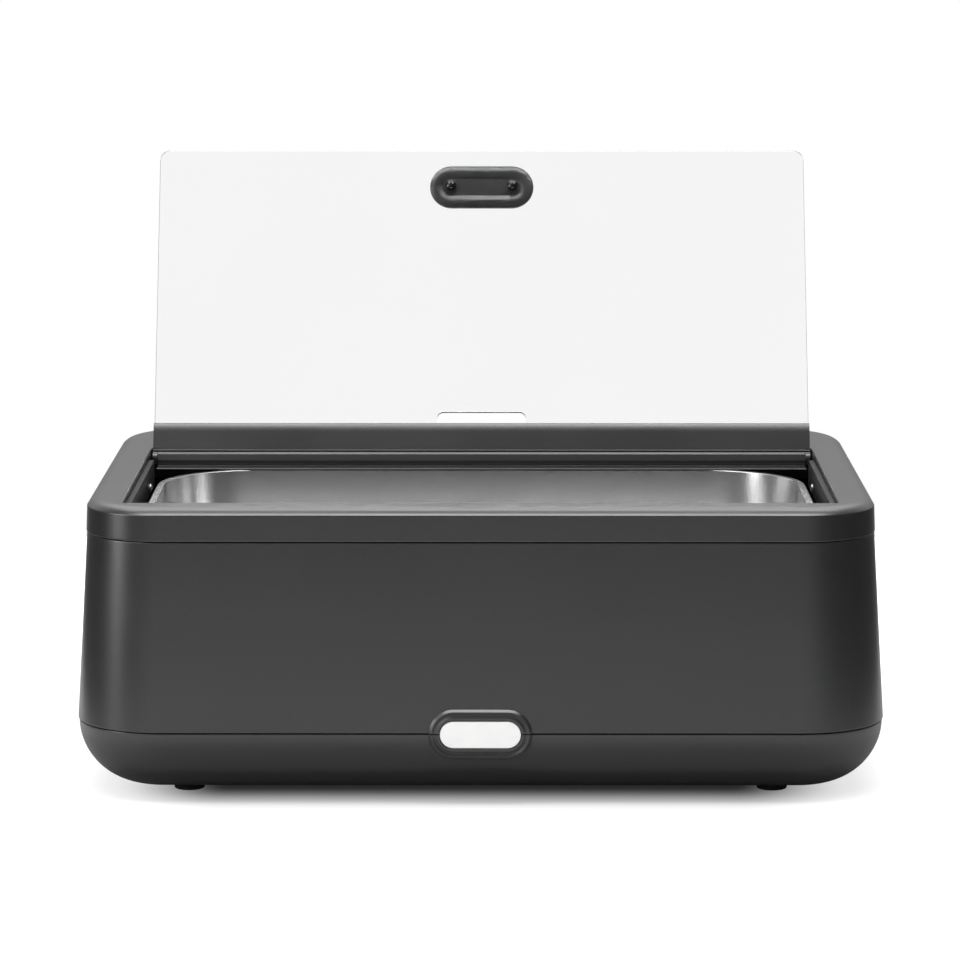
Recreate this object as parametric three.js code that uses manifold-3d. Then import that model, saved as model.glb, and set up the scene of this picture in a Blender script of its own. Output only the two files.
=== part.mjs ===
// Electric chafing dish with a clear hinged lid, shown with the lid standing open.
// Millimetres, +Z up, X along the long side, the front towards -Y. The origin is on the table, under the
// middle of the whole, badge included.

import * as THREE from "three";
import { mergeVertices } from "three/addons/utils/BufferGeometryUtils.js";
import Module from "manifold-3d";

const wasm = await Module();
wasm.setup();

// Clearances and walls
const GAP = 0.3; // between pieces that touch
const SEAM_GAP = 0.8; // the dark line between the body's shells
const OVERRUN = 1; // how far a cutting tool runs past the face it cuts
const MERGE_DISTANCE = 0.0001; // corners closer than this are one
const LEAST_STEP = 0.05; // an outline's neighbouring points lie further apart than this
const WALL = 3; // moulded plastic
const SHEET = 1; // pressed steel

// Body outline: straight sides joined by round corners, whose centres all levels share
const BODY_CORNER_X = 248;
const BODY_CORNER_Y = 161;
const SHELL_FOOT_RADIUS = 69.4;
const SHELL_TOP_RADIUS = 60.4;
const RIM_BAND_RADIUS = 60.9;
const RIM_CREASE_RADIUS = 60.1;

// Heights of the body's pieces
const FOOT_HEIGHT = 5.6;
const TRAY_HEIGHT = 51;
const SHELL_HEIGHT = 149.6;
const RIM_HEIGHT = 25.8;
const TRAY_STEP = 0.8; // the tray's edge stands inside the shell's by this
const TRAY_CURVE_RUN = 52.5; // how far the tray curves in on its way down
const TONGUE_HEIGHT = 6; // the tongues that locate one shell in the next
const TONGUE_WALL = 2;

// Rim frame
const CROWN_RADIUS = 16;
const CROWN_DEGREES = 50;
const RIM_SIDE_WIDTH = 30.2;
const RIM_FRONT_WIDTH = 29.1;
const OPENING_CORNER = 3;
const SKIRT_HEIGHT = 26;

// Lid and hinge
const LID_OPEN_DEGREES = 113.4;
const LID_LENGTH = 268.7;
const LID_THICKNESS = 4;
const LID_CORNER = 10;
const LID_SIDE_GAP = 1.5;
const LID_FRONT_GAP = 1.5;
const NOTCH_WIDTH = 75;
const NOTCH_REACH = 11.5; // how far the notch shows beyond the hinge bar
const NOTCH_CORNER = 5.5;
const BAR_LENGTH = 23.5;
const BAR_DEPTH = 7.5;
const BAR_ROUND = 7;
const BAR_EDGE = 1.2;
const ARM_WIDTH = 4;
const HUB_RADIUS = 5.2;
const PIN_RADIUS = 2;
const PIN_SEAT = 12;
const HINGE_SETBACK = 6.9; // from the lid's rear edge back to the hinge axis
const HINGE_DEPTH = 7.7; // from the rim's top down to the hinge axis
const LIP_REACH = 6.5;
const LIP_DEPTH = 5.1; // from the hinge axis down to the top of the lip
const LIP_THICKNESS = 2.2;
const BASE_DEPTH = 11.3; // from the hinge axis down to the hinge base's underside
const BASE_FLOOR = 3;
const BASE_TAIL = 11; // how far the hinge base runs back under the deck

// Lid rests
const REST_REACH = 4.9;
const REST_THICKNESS = 3;
const REST_BEAD = 1;
const SIDE_REST_TO_BAR = 0.7;
const REST_SCREW_DEPTH = 15;
const REST_SCREW_PLACE_SHARES = [0.3, 0.78];

// Handle
const HANDLE_LENGTH = 88.7;
const HANDLE_WIDTH = 37.4;
const HANDLE_HEIGHT = 22;
const HANDLE_FOOT = 4;
const HANDLE_HEAD = 5;
const HANDLE_WAIST = 8.5; // how far the waist draws in from the foot
const HANDLE_HEAD_INSET = 6.2; // how far the head's edge lies inside the foot's
const HANDLE_SWEEP = 4; // height of the slopes above and below the waist
const HANDLE_INSET = 32.5; // from the lid's free edge to the handle's middle
const HANDLE_EDGE = 1.5;
const HANDLE_SCREW_SPACING = 52.8;
const HANDLE_RECESS_WIDTH = 15;
const HANDLE_RECESS_LENGTH = 68;
const HANDLE_RECESS_DEPTH = 1.5;
const HANDLE_SCREW_LENGTH = 12;
const WASHER_RADIUS = 5;
const WASHER_THICKNESS = 1;

// Screws and nuts
const SCREW_RADIUS = 1.5;
const SCREW_HEAD_RADIUS = 3.5;
const SCREW_HEAD_HEIGHT = 2.2;
const SCREW_SOCKET_RADIUS = 1.6;
const SCREW_SOCKET_DEPTH = 1.2;
const REST_SCREW_LENGTH = 11;
const FRAME_SCREW_LENGTH = 16;
const FOOT_SCREW_LENGTH = 16;
const NUT_RADIUS = 4;
const NUT_HEIGHT = 3.2;
const CROWN_SHARE = 0.7; // a domed face's flat middle, as a share of its radius

// Badge
const BADGE_LENGTH = 80.7;
const BADGE_WIDTH = 39.6;
const BADGE_PROUD = 2;
const BADGE_ROOT = 8; // how far the surround's lower half reaches back into the tray
const BADGE_EDGE = 1.2;
const PLATE_LENGTH = 63.6;
const PLATE_WIDTH = 21.9;
const PLATE_THICKNESS = 1;
const PLATE_POCKET = 1.6;

// Food pan and water bath
const PAN_CORNER_X = 204;
const PAN_MOUTH_RADIUS = 55.5;
const PAN_FLANGE = 5.5;
const PAN_DROP = 14.3; // from the rim's top down to the pan's flange
const PAN_DEPTH = 65;
const PAN_FLOOR_ROUND = 40;
const PAN_DRAFT = 2.5;
const PAN_BACK_GAP = 2; // from the pan's flange to the hinge base's lip
const PAN_FRONT_GAP = 6.5; // from the opening's front edge to the pan's flange
const BATH_GAP = 1;
const BATH_FLANGE = 4.5;
const BATH_DEPTH = 78;

// Support frame
const FRAME_PLATE_DROP = 46; // from the rim's top down to the plate's underside
const COLLAR_WALL = 3;
const PEDESTAL_WIDTH = 30;
const PEDESTAL_DEPTH = 14;
const PEDESTAL_SPREAD = 200;
const TOWER_OUT = 14; // from a corner's centre out to its screw tower, each way
const TOWER_RADIUS = 7;
const TOWER_ROOT = 1.4; // how deep posts and towers stand in the tray's floor

// Feet
const FOOT_INSET_X = 87.4; // from the shell's lower edge in to the foot's middle
const FOOT_INSET_Y = 63.9;
const FOOT_RADIUS = 12;
const FOOT_EDGE = 1;
const FOOT_RECESS_RADIUS = 5;
const FOOT_RECESS_DEPTH = 3.2;
const FOOT_BOSS_HEIGHT = 14;
const FOOT_BOSS_RADIUS = 6;

// Heating under the bath
const SPREADER_X = 340;
const SPREADER_Y = 165;
const SPREADER_THICKNESS = 3;
const HEATER_RADIUS = 3.25;
const HEATER_LOOP_X = 300;
const HEATER_LOOP_Y = 115;
const HEATER_BEND = 15;
const HEATER_TAIL = 55;
const HEATER_TAIL_SPREAD = 30;
const CLAMP_X = 90;
const CLAMP_WIDTH = 14;
const CLAMP_LENGTH = 130;
const CLAMP_THICKNESS = 1.7;
const STUD_RADIUS = 2;
const STUD_LENGTH = 15;
const STUD_SPACING = 84;
const CUTOUT_RADIUS = 9;
const CUTOUT_HEIGHT = 8;
const CUTOUT_TAB_LENGTH = 30;
const CUTOUT_TAB_WIDTH = 8;
const SHIELD_X = 420;
const SHIELD_Y = 190;
const SHIELD_DROP = 24; // from the bath's underside down to the shield
const SHIELD_FLANGE = 12;
const SHIELD_POST_X = 190;
const SHIELD_POST_Y = 70;
const SHIELD_POST_RADIUS = 5;

// Rear controls
const PANEL_LENGTH = 190;
const PANEL_HEIGHT = 58;
const PANEL_MIDDLE = 64.6; // from the lower seam up to the panel's middle
const PANEL_DEPTH = 19; // from the shell's lower edge in to the panel's face
const PANEL_WALL = 2.5;
const PANEL_FLANGE = 5;
const PANEL_FLANGE_THICKNESS = 2;
const KNOB_X = -62;
const KNOB_RADIUS = 18;
const KNOB_SKIRT = 3;
const KNOB_HEIGHT = 13;
const KNOB_GRIP_RADIUS = 13;
const KNOB_TAPER = 1;
const KNOB_BAR_WIDTH = 7;
const SHAFT_RADIUS = 3;
const SHAFT_LENGTH = 8;
const NECK_RADIUS = 5;
const THERMOSTAT_WIDTH = 36;
const THERMOSTAT_HEIGHT = 32;
const THERMOSTAT_DEPTH = 24;
const LENS_X = -24;
const LENS_RADIUS = 5;
const LENS_STEM_RADIUS = 3.5;
const LENS_STEM_LENGTH = 14;
const LENS_HEIGHT = 3;
const SWITCH_X = 10;
const SWITCH_WIDTH = 24;
const SWITCH_HEIGHT = 34;
const SWITCH_DEPTH = 20;
const SWITCH_FLANGE = 2;
const SWITCH_FRAME = 3.5;
const ROCKER_DEGREES = 14; // from off to on
const ROCKER_PROUD = 6.5;
const ROCKER_DIP = 1.5;
const ROCKER_BACK = 5;
const ROCKER_SWING = 1.1; // room above and below the rocker
const ROCKER_PIVOT = 1; // how far the pivot lies in front of the panel's face
const INLET_X = 60;
const INLET_LENGTH = 50;
const INLET_HEIGHT = 30;
const INLET_DEPTH = 22;
const INLET_FLANGE = 2;
const INLET_FRAME = 11; // how far the flange stands past the inlet's body at each end
const INLET_LEDGE = 2.75; // and above and below it
const SOCKET_LENGTH = 24.5;
const SOCKET_HEIGHT = 16.5;
const SOCKET_DEPTH = 16;
const BLADE_WIDTH = 2;
const BLADE_HEIGHT = 5;
const BLADE_LENGTH = 9;
const BLADE_SPACING = 7;
const BLADE_BASE = 1.5;

// Steps of round shapes
const CORNER_STEPS = 6;
const BODY_ARC_STEPS = 6;
const SMALL_ARC_STEPS = 4;
const BEVEL_STEPS = 2;
const ROUND_STEPS = 16;
const FINE_STEPS = 24;
const HEATER_STEPS = 76;
const HEATER_SIDES = 8;

// Levels and places that follow from the sizes above
const SIDES = [["left", -1], ["right", 1]];
const ENDS = [["front", -1], ["rear", 1]];
const LOWER_SEAM_Z = FOOT_HEIGHT + TRAY_HEIGHT;
const UPPER_SEAM_Z = LOWER_SEAM_Z + SHELL_HEIGHT;
const RIM_TOP_Z = UPPER_SEAM_Z + RIM_HEIGHT;
const RIM_FLOOR_Z = RIM_TOP_Z - WALL;
const OPENING_HALF_X = BODY_CORNER_X + RIM_CREASE_RADIUS - RIM_SIDE_WIDTH;
const OPENING_FRONT_Y = RIM_FRONT_WIDTH - BODY_CORNER_Y - RIM_CREASE_RADIUS;
const LID_HALF_X = OPENING_HALF_X - LID_SIDE_GAP;
const LID_FRONT_Y = OPENING_FRONT_Y + LID_FRONT_GAP;
const LID_REAR_Y = LID_FRONT_Y + LID_LENGTH;
const LID_UNDER_Z = RIM_TOP_Z - LID_THICKNESS;
const REST_TOP_Z = LID_UNDER_Z - GAP;
const HINGE_Y = LID_REAR_Y + HINGE_SETBACK;
const HINGE_Z = RIM_TOP_Z - HINGE_DEPTH;
const KNUCKLE_RADIUS = HINGE_SETBACK - GAP;
const BASE_HALF_X = LID_HALF_X - ARM_WIDTH - GAP;
const BASE_FLOOR_Z = HINGE_Z - BASE_DEPTH + BASE_FLOOR;
const OPEN_ANGLE = THREE.MathUtils.degToRad(LID_OPEN_DEGREES);
// The open lid's back rests against the deck's front edge
const LEAN = OPEN_ANGLE - Math.PI / 2;
const DECK_Y = HINGE_Y + (HINGE_DEPTH + GAP + HINGE_DEPTH * Math.sin(LEAN)) / Math.cos(LEAN);
const SKIRT_Z = RIM_TOP_Z - SKIRT_HEIGHT;
const HANDLE_Y = LID_FRONT_Y + HANDLE_INSET;
const PAN_TOP_Z = RIM_TOP_Z - PAN_DROP;
const PAN_REAR_Y = HINGE_Y - KNUCKLE_RADIUS - LIP_REACH - PAN_BACK_GAP;
const PAN_FRONT_Y = OPENING_FRONT_Y + PAN_FRONT_GAP;
const PAN_Y = (PAN_REAR_Y + PAN_FRONT_Y) / 2;
const PAN_CORNER_Y = (PAN_REAR_Y - PAN_FRONT_Y) / 2 - PAN_MOUTH_RADIUS - PAN_FLANGE;
const BATH_TOP_Z = PAN_TOP_Z - SHEET - GAP;
const BATH_MOUTH_RADIUS = PAN_MOUTH_RADIUS + SHEET + BATH_GAP;
const BATH_UNDER_Z = BATH_TOP_Z - BATH_DEPTH - SHEET;
const FRAME_Z = RIM_TOP_Z - FRAME_PLATE_DROP;
const FRAME_TOP_Z = FRAME_Z + WALL;
const TRAY_FLOOR_Z = FOOT_HEIGHT + WALL;
const SPREADER_Z = BATH_UNDER_Z - GAP - SPREADER_THICKNESS;
const HEATER_Z = SPREADER_Z - GAP - HEATER_RADIUS;
const CLAMP_Z = HEATER_Z - HEATER_RADIUS - GAP - CLAMP_THICKNESS;
const SHIELD_Z = BATH_UNDER_Z - SHIELD_DROP;
const FOOT_X = BODY_CORNER_X + SHELL_FOOT_RADIUS - FOOT_INSET_X;
const FOOT_Y = BODY_CORNER_Y + SHELL_FOOT_RADIUS - FOOT_INSET_Y;
const PANEL_Z = LOWER_SEAM_Z + PANEL_MIDDLE;
const PANEL_Y = BODY_CORNER_Y + SHELL_FOOT_RADIUS - PANEL_DEPTH;
const BADGE_FRONT_Y = -(BODY_CORNER_Y + SHELL_FOOT_RADIUS + BADGE_PROUD);
// The badge stands out in front, so the body's middle lies this far behind the origin
const BODY_SHIFT_Y = BADGE_PROUD / 2;

// Materials
const plastic = (color, roughness) => new THREE.MeshStandardMaterial({ color, roughness, metalness: 0 });
const metal = (color, roughness) => new THREE.MeshStandardMaterial({ color, roughness, metalness: 1 });
const BLACK = plastic(0x2b2b2c, 0.5);
const BLACK_GLOSS = plastic(0x1c1c1d, 0.3);
const WHITE = plastic(0xf2f2f0, 0.4);
const RUBBER = plastic(0x141414, 0.9);
const AMBER = plastic(0xd8792b, 0.25);
const STEEL = metal(0xb9bab8, 0.28);
const ZINC = metal(0x9a9a98, 0.4);
const ALUMINIUM = metal(0xc4c5c6, 0.45);
const CLEAR = new THREE.MeshStandardMaterial({
  color: 0xeef2f2, roughness: 0.05, metalness: 0, transparent: true, opacity: 0.25,
});

// Solids: three.js geometry in, three.js geometry out, joined and cut as closed solids

function toSolid(geometry) {
  const plain = geometry.index ? geometry.toNonIndexed() : geometry.clone();
  plain.deleteAttribute("normal");
  plain.deleteAttribute("uv");
  const merged = mergeVertices(plain, MERGE_DISTANCE);
  const mesh = new wasm.Mesh({
    numProp: 3,
    vertProperties: merged.attributes.position.array,
    triVerts: new Uint32Array(merged.index.array),
  });
  return new wasm.Manifold(mesh);
}

function toGeometry(solid) {
  const mesh = solid.getMesh();
  const geometry = new THREE.BufferGeometry();
  geometry.setAttribute("position", new THREE.BufferAttribute(mesh.vertProperties, 3));
  geometry.setIndex(new THREE.BufferAttribute(mesh.triVerts, 1));
  return geometry;
}

function join(...pieces) {
  return toGeometry(pieces.map(toSolid).reduce((sum, piece) => sum.add(piece)));
}

function cut(base, ...tools) {
  return toGeometry(tools.map(toSolid).reduce((rest, tool) => rest.subtract(tool), toSolid(base)));
}

function common(base, tool) {
  return toGeometry(toSolid(base).intersect(toSolid(tool)));
}

// Basic shapes

// Points of an arc in a plane, from one angle to another in degrees
function arc(u, v, radius, from, to, steps) {
  return Array.from({ length: steps + 1 }, (_, i) => {
    const angle = THREE.MathUtils.degToRad(from + ((to - from) * i) / steps);
    return [u + radius * Math.cos(angle), v + radius * Math.sin(angle)];
  });
}

// A rectangle's outline with round corners of one radius round the centres (+-cornerX, +-cornerY)
function outline(cornerX, cornerY, radius, steps) {
  const signs = [[1, 1], [-1, 1], [-1, -1], [1, -1]];
  const points = signs.flatMap(([sx, sy], quarter) =>
    arc(sx * cornerX, sy * cornerY, radius, 90 * quarter, 90 * quarter + 90, steps));
  const apart = (a, b) => Math.hypot(a[0] - b[0], a[1] - b[1]) > LEAST_STEP;
  return points.filter((point, i) => apart(point, points[(i + 1) % points.length]));
}

// A profile of [corner radius, height] carried round such a rectangle, or closed on itself as a ring
function loft(profile, cornerX, cornerY, steps = CORNER_STEPS, ring = false) {
  const rings = profile.map(([radius, z]) =>
    outline(cornerX, cornerY, radius, steps).map(([x, y]) => [x, y, z]));
  const around = rings[0].length;
  const vertices = rings.flat();
  const index = [];
  const pairs = ring ? rings.length : rings.length - 1;
  for (let level = 0; level < pairs; level++) {
    const low = level * around;
    const high = ((level + 1) % rings.length) * around;
    for (let i = 0; i < around; i++) {
      const next = (i + 1) % around;
      index.push(low + i, low + next, high + next, low + i, high + next, high + i);
    }
  }
  if (!ring) {
    const last = (rings.length - 1) * around;
    const firstMiddle = vertices.push([0, 0, profile[0][1]]) - 1;
    const lastMiddle = vertices.push([0, 0, profile.at(-1)[1]]) - 1;
    for (let i = 0; i < around; i++) {
      const next = (i + 1) % around;
      index.push(firstMiddle, next, i, lastMiddle, last + i, last + next);
    }
  }
  const geometry = new THREE.BufferGeometry();
  geometry.setAttribute("position", new THREE.Float32BufferAttribute(vertices.flat(), 3));
  geometry.setIndex(index);
  return geometry;
}

function block(x0, x1, y0, y1, z0, z1) {
  return new THREE.BoxGeometry(x1 - x0, y1 - y0, z1 - z0)
    .translate((x0 + x1) / 2, (y0 + y1) / 2, (z0 + z1) / 2);
}

function shapeOf(points) {
  return new THREE.Shape(points.map(([u, v]) => new THREE.Vector2(u, v)));
}

const STANDING = new THREE.Matrix4();
const ALONG_X = new THREE.Matrix4().makeBasis(
  new THREE.Vector3(0, 1, 0), new THREE.Vector3(0, 0, 1), new THREE.Vector3(1, 0, 0));
// Local x and y lie along -X and Z, so the extrusion runs along +Y
const ALONG_Y = new THREE.Matrix4().makeBasis(
  new THREE.Vector3(-1, 0, 0), new THREE.Vector3(0, 0, 1), new THREE.Vector3(0, 1, 0));

// A flat outline made thick from one place to another along the axis that the basis gives
function prism(points, from, to, basis = STANDING, bevel = 0) {
  const settings = { depth: to - from - 2 * bevel, bevelEnabled: bevel > 0, steps: 1 };
  if (bevel > 0) {
    Object.assign(settings, {
      bevelSize: bevel, bevelThickness: bevel, bevelOffset: -bevel, bevelSegments: BEVEL_STEPS,
    });
  }
  return new THREE.ExtrudeGeometry(shapeOf(points), settings)
    .translate(0, 0, from + bevel)
    .applyMatrix4(basis);
}

// A profile of [radius, height] turned round the vertical axis, from the axis back to the axis
function turned(profile, steps = ROUND_STEPS) {
  const points = profile.map(([radius, height]) => new THREE.Vector2(radius, height));
  return new THREE.LatheGeometry(points, steps).rotateX(Math.PI / 2);
}

function rod(radius, from, to, basis = STANDING, steps = ROUND_STEPS) {
  return turned([[0, from], [radius, from], [radius, to], [0, to]], steps).applyMatrix4(basis);
}

function stadium(length, width, steps = 2 * CORNER_STEPS) {
  const radius = width / 2;
  const half = length / 2 - radius;
  return [...arc(half, 0, radius, -90, 90, steps), ...arc(-half, 0, radius, 90, 270, steps)];
}

// A round-headed screw with a socket, its head's seat at 0 and its shank pointing up
function screw(length) {
  const profile = [
    [0, SCREW_SOCKET_DEPTH - SCREW_HEAD_HEIGHT],
    [SCREW_SOCKET_RADIUS, SCREW_SOCKET_DEPTH - SCREW_HEAD_HEIGHT],
    [SCREW_SOCKET_RADIUS, -SCREW_HEAD_HEIGHT],
    [SCREW_HEAD_RADIUS * CROWN_SHARE, -SCREW_HEAD_HEIGHT],
    [SCREW_HEAD_RADIUS, -SCREW_HEAD_HEIGHT / 2],
    [SCREW_HEAD_RADIUS, 0],
    [SCREW_RADIUS, 0],
    [SCREW_RADIUS, length - SCREW_RADIUS],
    [0, length],
  ];
  return turned(profile, ROUND_STEPS - SMALL_ARC_STEPS);
}

// The scene: one group for the whole dish, with groups for what moves in it

const dish = new THREE.Group();
dish.name = "chafing_dish";
dish.position.y = BODY_SHIFT_Y;

function add(group, name, geometry, material) {
  const mesh = new THREE.Mesh(geometry, material);
  mesh.name = name;
  group.add(mesh);
  return mesh;
}

// Body shells

// The shell's outer corner radius at a height: its sides lean in as they rise
function shellRadius(z) {
  const share = (z - LOWER_SEAM_Z) / SHELL_HEIGHT;
  return SHELL_FOOT_RADIUS + (SHELL_TOP_RADIUS - SHELL_FOOT_RADIUS) * share;
}

// The badge's surround: a stadium with a softened front edge, cut to the part above or below a height
function badgeSurround(rootY, fromZ, toZ) {
  const boss = prism(stadium(BADGE_LENGTH, BADGE_WIDTH), BADGE_FRONT_Y, rootY, ALONG_Y, BADGE_EDGE)
    .translate(0, 0, LOWER_SEAM_Z);
  const half = BADGE_LENGTH / 2 + OVERRUN;
  return common(boss, block(-half, half, BADGE_FRONT_Y - OVERRUN, rootY + OVERRUN, fromZ, toZ));
}

function badgePocket() {
  return prism(
    stadium(PLATE_LENGTH + 2 * GAP, PLATE_WIDTH + 2 * GAP),
    BADGE_FRONT_Y - OVERRUN, BADGE_FRONT_Y + PLATE_POCKET, ALONG_Y,
  ).translate(0, 0, LOWER_SEAM_Z);
}

function traySkin() {
  const edge = SHELL_FOOT_RADIUS - TRAY_STEP;
  const flat = edge - TRAY_CURVE_RUN;
  // Quarter ellipses for the outside and the inside, from the floor up to the edge
  const curve = (run, rise, from, to) => arc(0, 0, 1, from, to, BODY_ARC_STEPS)
    .map(([u, v]) => [flat + run * u, LOWER_SEAM_Z + rise * v]);
  const outside = curve(TRAY_CURVE_RUN, TRAY_HEIGHT, -90, 0);
  const inside = curve(TRAY_CURVE_RUN - WALL, TRAY_HEIGHT - WALL, 0, -90);
  const tongueOuter = shellRadius(LOWER_SEAM_Z + TONGUE_HEIGHT) - WALL - GAP;
  const tongue = [
    [tongueOuter, LOWER_SEAM_Z],
    [tongueOuter, LOWER_SEAM_Z + TONGUE_HEIGHT],
    [tongueOuter - TONGUE_WALL, LOWER_SEAM_Z + TONGUE_HEIGHT],
    [tongueOuter - TONGUE_WALL, LOWER_SEAM_Z],
  ];
  return loft([...outside, ...tongue, ...inside.slice(1)], BODY_CORNER_X, BODY_CORNER_Y);
}

function baseTray() {
  const posts = [];
  const holes = [];
  const root = TRAY_FLOOR_Z - TOWER_ROOT;
  const towerTop = FRAME_Z - GAP;
  for (const [, sx] of SIDES) {
    for (const [, sy] of ENDS) {
      const towerX = sx * (BODY_CORNER_X + TOWER_OUT);
      const towerY = sy * (BODY_CORNER_Y + TOWER_OUT);
      posts.push(rod(TOWER_RADIUS, root, towerTop).translate(towerX, towerY, 0));
      holes.push(rod(SCREW_RADIUS + GAP, towerTop - FRAME_SCREW_LENGTH, towerTop + OVERRUN)
        .translate(towerX, towerY, 0));
      posts.push(rod(FOOT_BOSS_RADIUS, root, TRAY_FLOOR_Z + FOOT_BOSS_HEIGHT)
        .translate(sx * FOOT_X, sy * FOOT_Y, 0));
      holes.push(rod(SCREW_RADIUS + GAP, FOOT_HEIGHT - OVERRUN, TRAY_FLOOR_Z + FOOT_BOSS_HEIGHT - OVERRUN)
        .translate(sx * FOOT_X, sy * FOOT_Y, 0));
      posts.push(rod(SHIELD_POST_RADIUS, root, SHIELD_Z - SHEET - GAP)
        .translate(sx * SHIELD_POST_X, PAN_Y + sy * SHIELD_POST_Y, 0));
    }
  }
  const surround = badgeSurround(BADGE_FRONT_Y + BADGE_ROOT, FOOT_HEIGHT, LOWER_SEAM_Z);
  return cut(join(traySkin(), surround, ...posts), badgePocket(), ...holes);
}

function bodyShell() {
  const bottom = LOWER_SEAM_Z + SEAM_GAP;
  const top = UPPER_SEAM_Z - SEAM_GAP;
  const profile = [
    [shellRadius(bottom) - WALL, bottom],
    [shellRadius(bottom), bottom],
    [shellRadius(top), top],
    [shellRadius(top) - WALL, top],
  ];
  const skin = loft(profile, BODY_CORNER_X, BODY_CORNER_Y, CORNER_STEPS, true);
  const surround = badgeSurround(
    BADGE_FRONT_Y + BADGE_PROUD + WALL - GAP, bottom, LOWER_SEAM_Z + BADGE_WIDTH);
  const halfX = PANEL_LENGTH / 2 + GAP;
  const halfZ = PANEL_HEIGHT / 2 + GAP;
  const window = block(
    -halfX, halfX, BODY_CORNER_Y, BODY_CORNER_Y + SHELL_FOOT_RADIUS + OVERRUN,
    PANEL_Z - halfZ, PANEL_Z + halfZ);
  return cut(join(skin, surround), badgePocket(), window);
}

function rimPlate() {
  const crownRise = CROWN_RADIUS * Math.sin(THREE.MathUtils.degToRad(CROWN_DEGREES));
  const crownStart = RIM_CREASE_RADIUS - crownRise;
  const crownZ = RIM_TOP_Z - CROWN_RADIUS;
  const innerRadius = CROWN_RADIUS - WALL;
  const tongueOuter = SHELL_TOP_RADIUS - WALL - GAP;
  const tongueInner = tongueOuter - TONGUE_WALL;
  const meet = THREE.MathUtils.radToDeg(Math.asin((tongueInner - crownStart) / innerRadius));
  const under = arc(crownStart, crownZ, innerRadius, 90, 90 - meet, SMALL_ARC_STEPS);
  const crown = arc(crownStart, crownZ, CROWN_RADIUS, 90 - CROWN_DEGREES, 90, BODY_ARC_STEPS);
  const tongue = [
    [tongueInner, UPPER_SEAM_Z - TONGUE_HEIGHT],
    [tongueOuter, UPPER_SEAM_Z - TONGUE_HEIGHT],
    [tongueOuter, UPPER_SEAM_Z],
    [RIM_BAND_RADIUS, UPPER_SEAM_Z],
  ];
  return loft([...under, ...tongue, ...crown], BODY_CORNER_X, BODY_CORNER_Y);
}

// The opening's outline, grown outwards by a margin
function openingOutline(margin) {
  const halfX = OPENING_HALF_X - OPENING_CORNER;
  const halfY = (DECK_Y - OPENING_FRONT_Y) / 2 - OPENING_CORNER;
  const middle = (DECK_Y + OPENING_FRONT_Y) / 2;
  return outline(halfX, halfY, OPENING_CORNER + margin, SMALL_ARC_STEPS)
    .map(([x, y]) => [x, y + middle]);
}

function restScrewPlaces() {
  const length = sideRestEndY() - OPENING_FRONT_Y;
  return REST_SCREW_PLACE_SHARES.map((share) => OPENING_FRONT_Y + share * length);
}

function rimFrame() {
  const skirt = prism(openingOutline(WALL), SKIRT_Z, RIM_FLOOR_Z + WALL / 2);
  const opening = prism(openingOutline(0), SKIRT_Z - OVERRUN, RIM_TOP_Z + OVERRUN);
  // The hinge base passes under the skirt behind the opening
  const passage = block(
    -BASE_HALF_X - GAP, BASE_HALF_X + GAP, DECK_Y - OVERRUN, DECK_Y + WALL + OVERRUN,
    SKIRT_Z - OVERRUN, BASE_FLOOR_Z + GAP);
  const holes = restScrewPlaces().flatMap((y) => SIDES.map(([, sx]) =>
    rod(SCREW_RADIUS + GAP, -WALL - OVERRUN, WALL + OVERRUN, ALONG_X)
      .translate(sx * (OPENING_HALF_X + WALL / 2), y, REST_TOP_Z - REST_SCREW_DEPTH)));
  return cut(join(rimPlate(), skirt), opening, passage, ...holes);
}

// Lid rests: strips inside the opening that the closed lid lies on

function sideRestEndY() {
  return LID_REAR_Y - BAR_LENGTH - SIDE_REST_TO_BAR;
}

// The strip's section, with its outer face at 0 and its inner face towards +u
function restSection() {
  const inner = REST_REACH - GAP;
  const legOuter = inner - REST_THICKNESS;
  return [
    [0, REST_TOP_Z - REST_THICKNESS],
    [legOuter, REST_TOP_Z - REST_THICKNESS],
    [legOuter, SKIRT_Z],
    [inner, SKIRT_Z],
    ...arc(inner - REST_BEAD, REST_TOP_Z - REST_BEAD, REST_BEAD, 0, 90, 2),
    [0, REST_TOP_Z],
  ];
}

function sideRest(sx) {
  const section = restSection().map(([u, z]) => [-sx * (OPENING_HALF_X - GAP - u), z]);
  const strip = prism(section, OPENING_FRONT_Y + REST_REACH + GAP, sideRestEndY(), ALONG_Y);
  const holes = restScrewPlaces().map((y) =>
    rod(SCREW_RADIUS + GAP, -REST_REACH - OVERRUN, REST_REACH + OVERRUN, ALONG_X)
      .translate(sx * OPENING_HALF_X, y, REST_TOP_Z - REST_SCREW_DEPTH));
  return cut(strip, ...holes);
}

function frontRest() {
  const section = restSection().map(([u, z]) => [OPENING_FRONT_Y + GAP + u, z]);
  const half = OPENING_HALF_X - OPENING_CORNER;
  return prism(section, -half, half, ALONG_X);
}

function addRests(group) {
  for (const [side, sx] of SIDES) {
    add(group, `lid_rest_${side}`, sideRest(sx), BLACK);
    restScrewPlaces().forEach((y, i) => {
      const geometry = screw(REST_SCREW_LENGTH).applyMatrix4(ALONG_X);
      if (sx < 0) geometry.rotateZ(Math.PI);
      geometry.translate(sx * (OPENING_HALF_X - REST_REACH - GAP), y, REST_TOP_Z - REST_SCREW_DEPTH);
      add(group, `rest_screw_${side}_${i + 1}`, geometry, ZINC);
    });
  }
  add(group, "lid_rest_front", frontRest(), BLACK);
}

// Hinge base: a half-round nose on the hinge axis, with a drip lip in front and a floor behind

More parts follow.
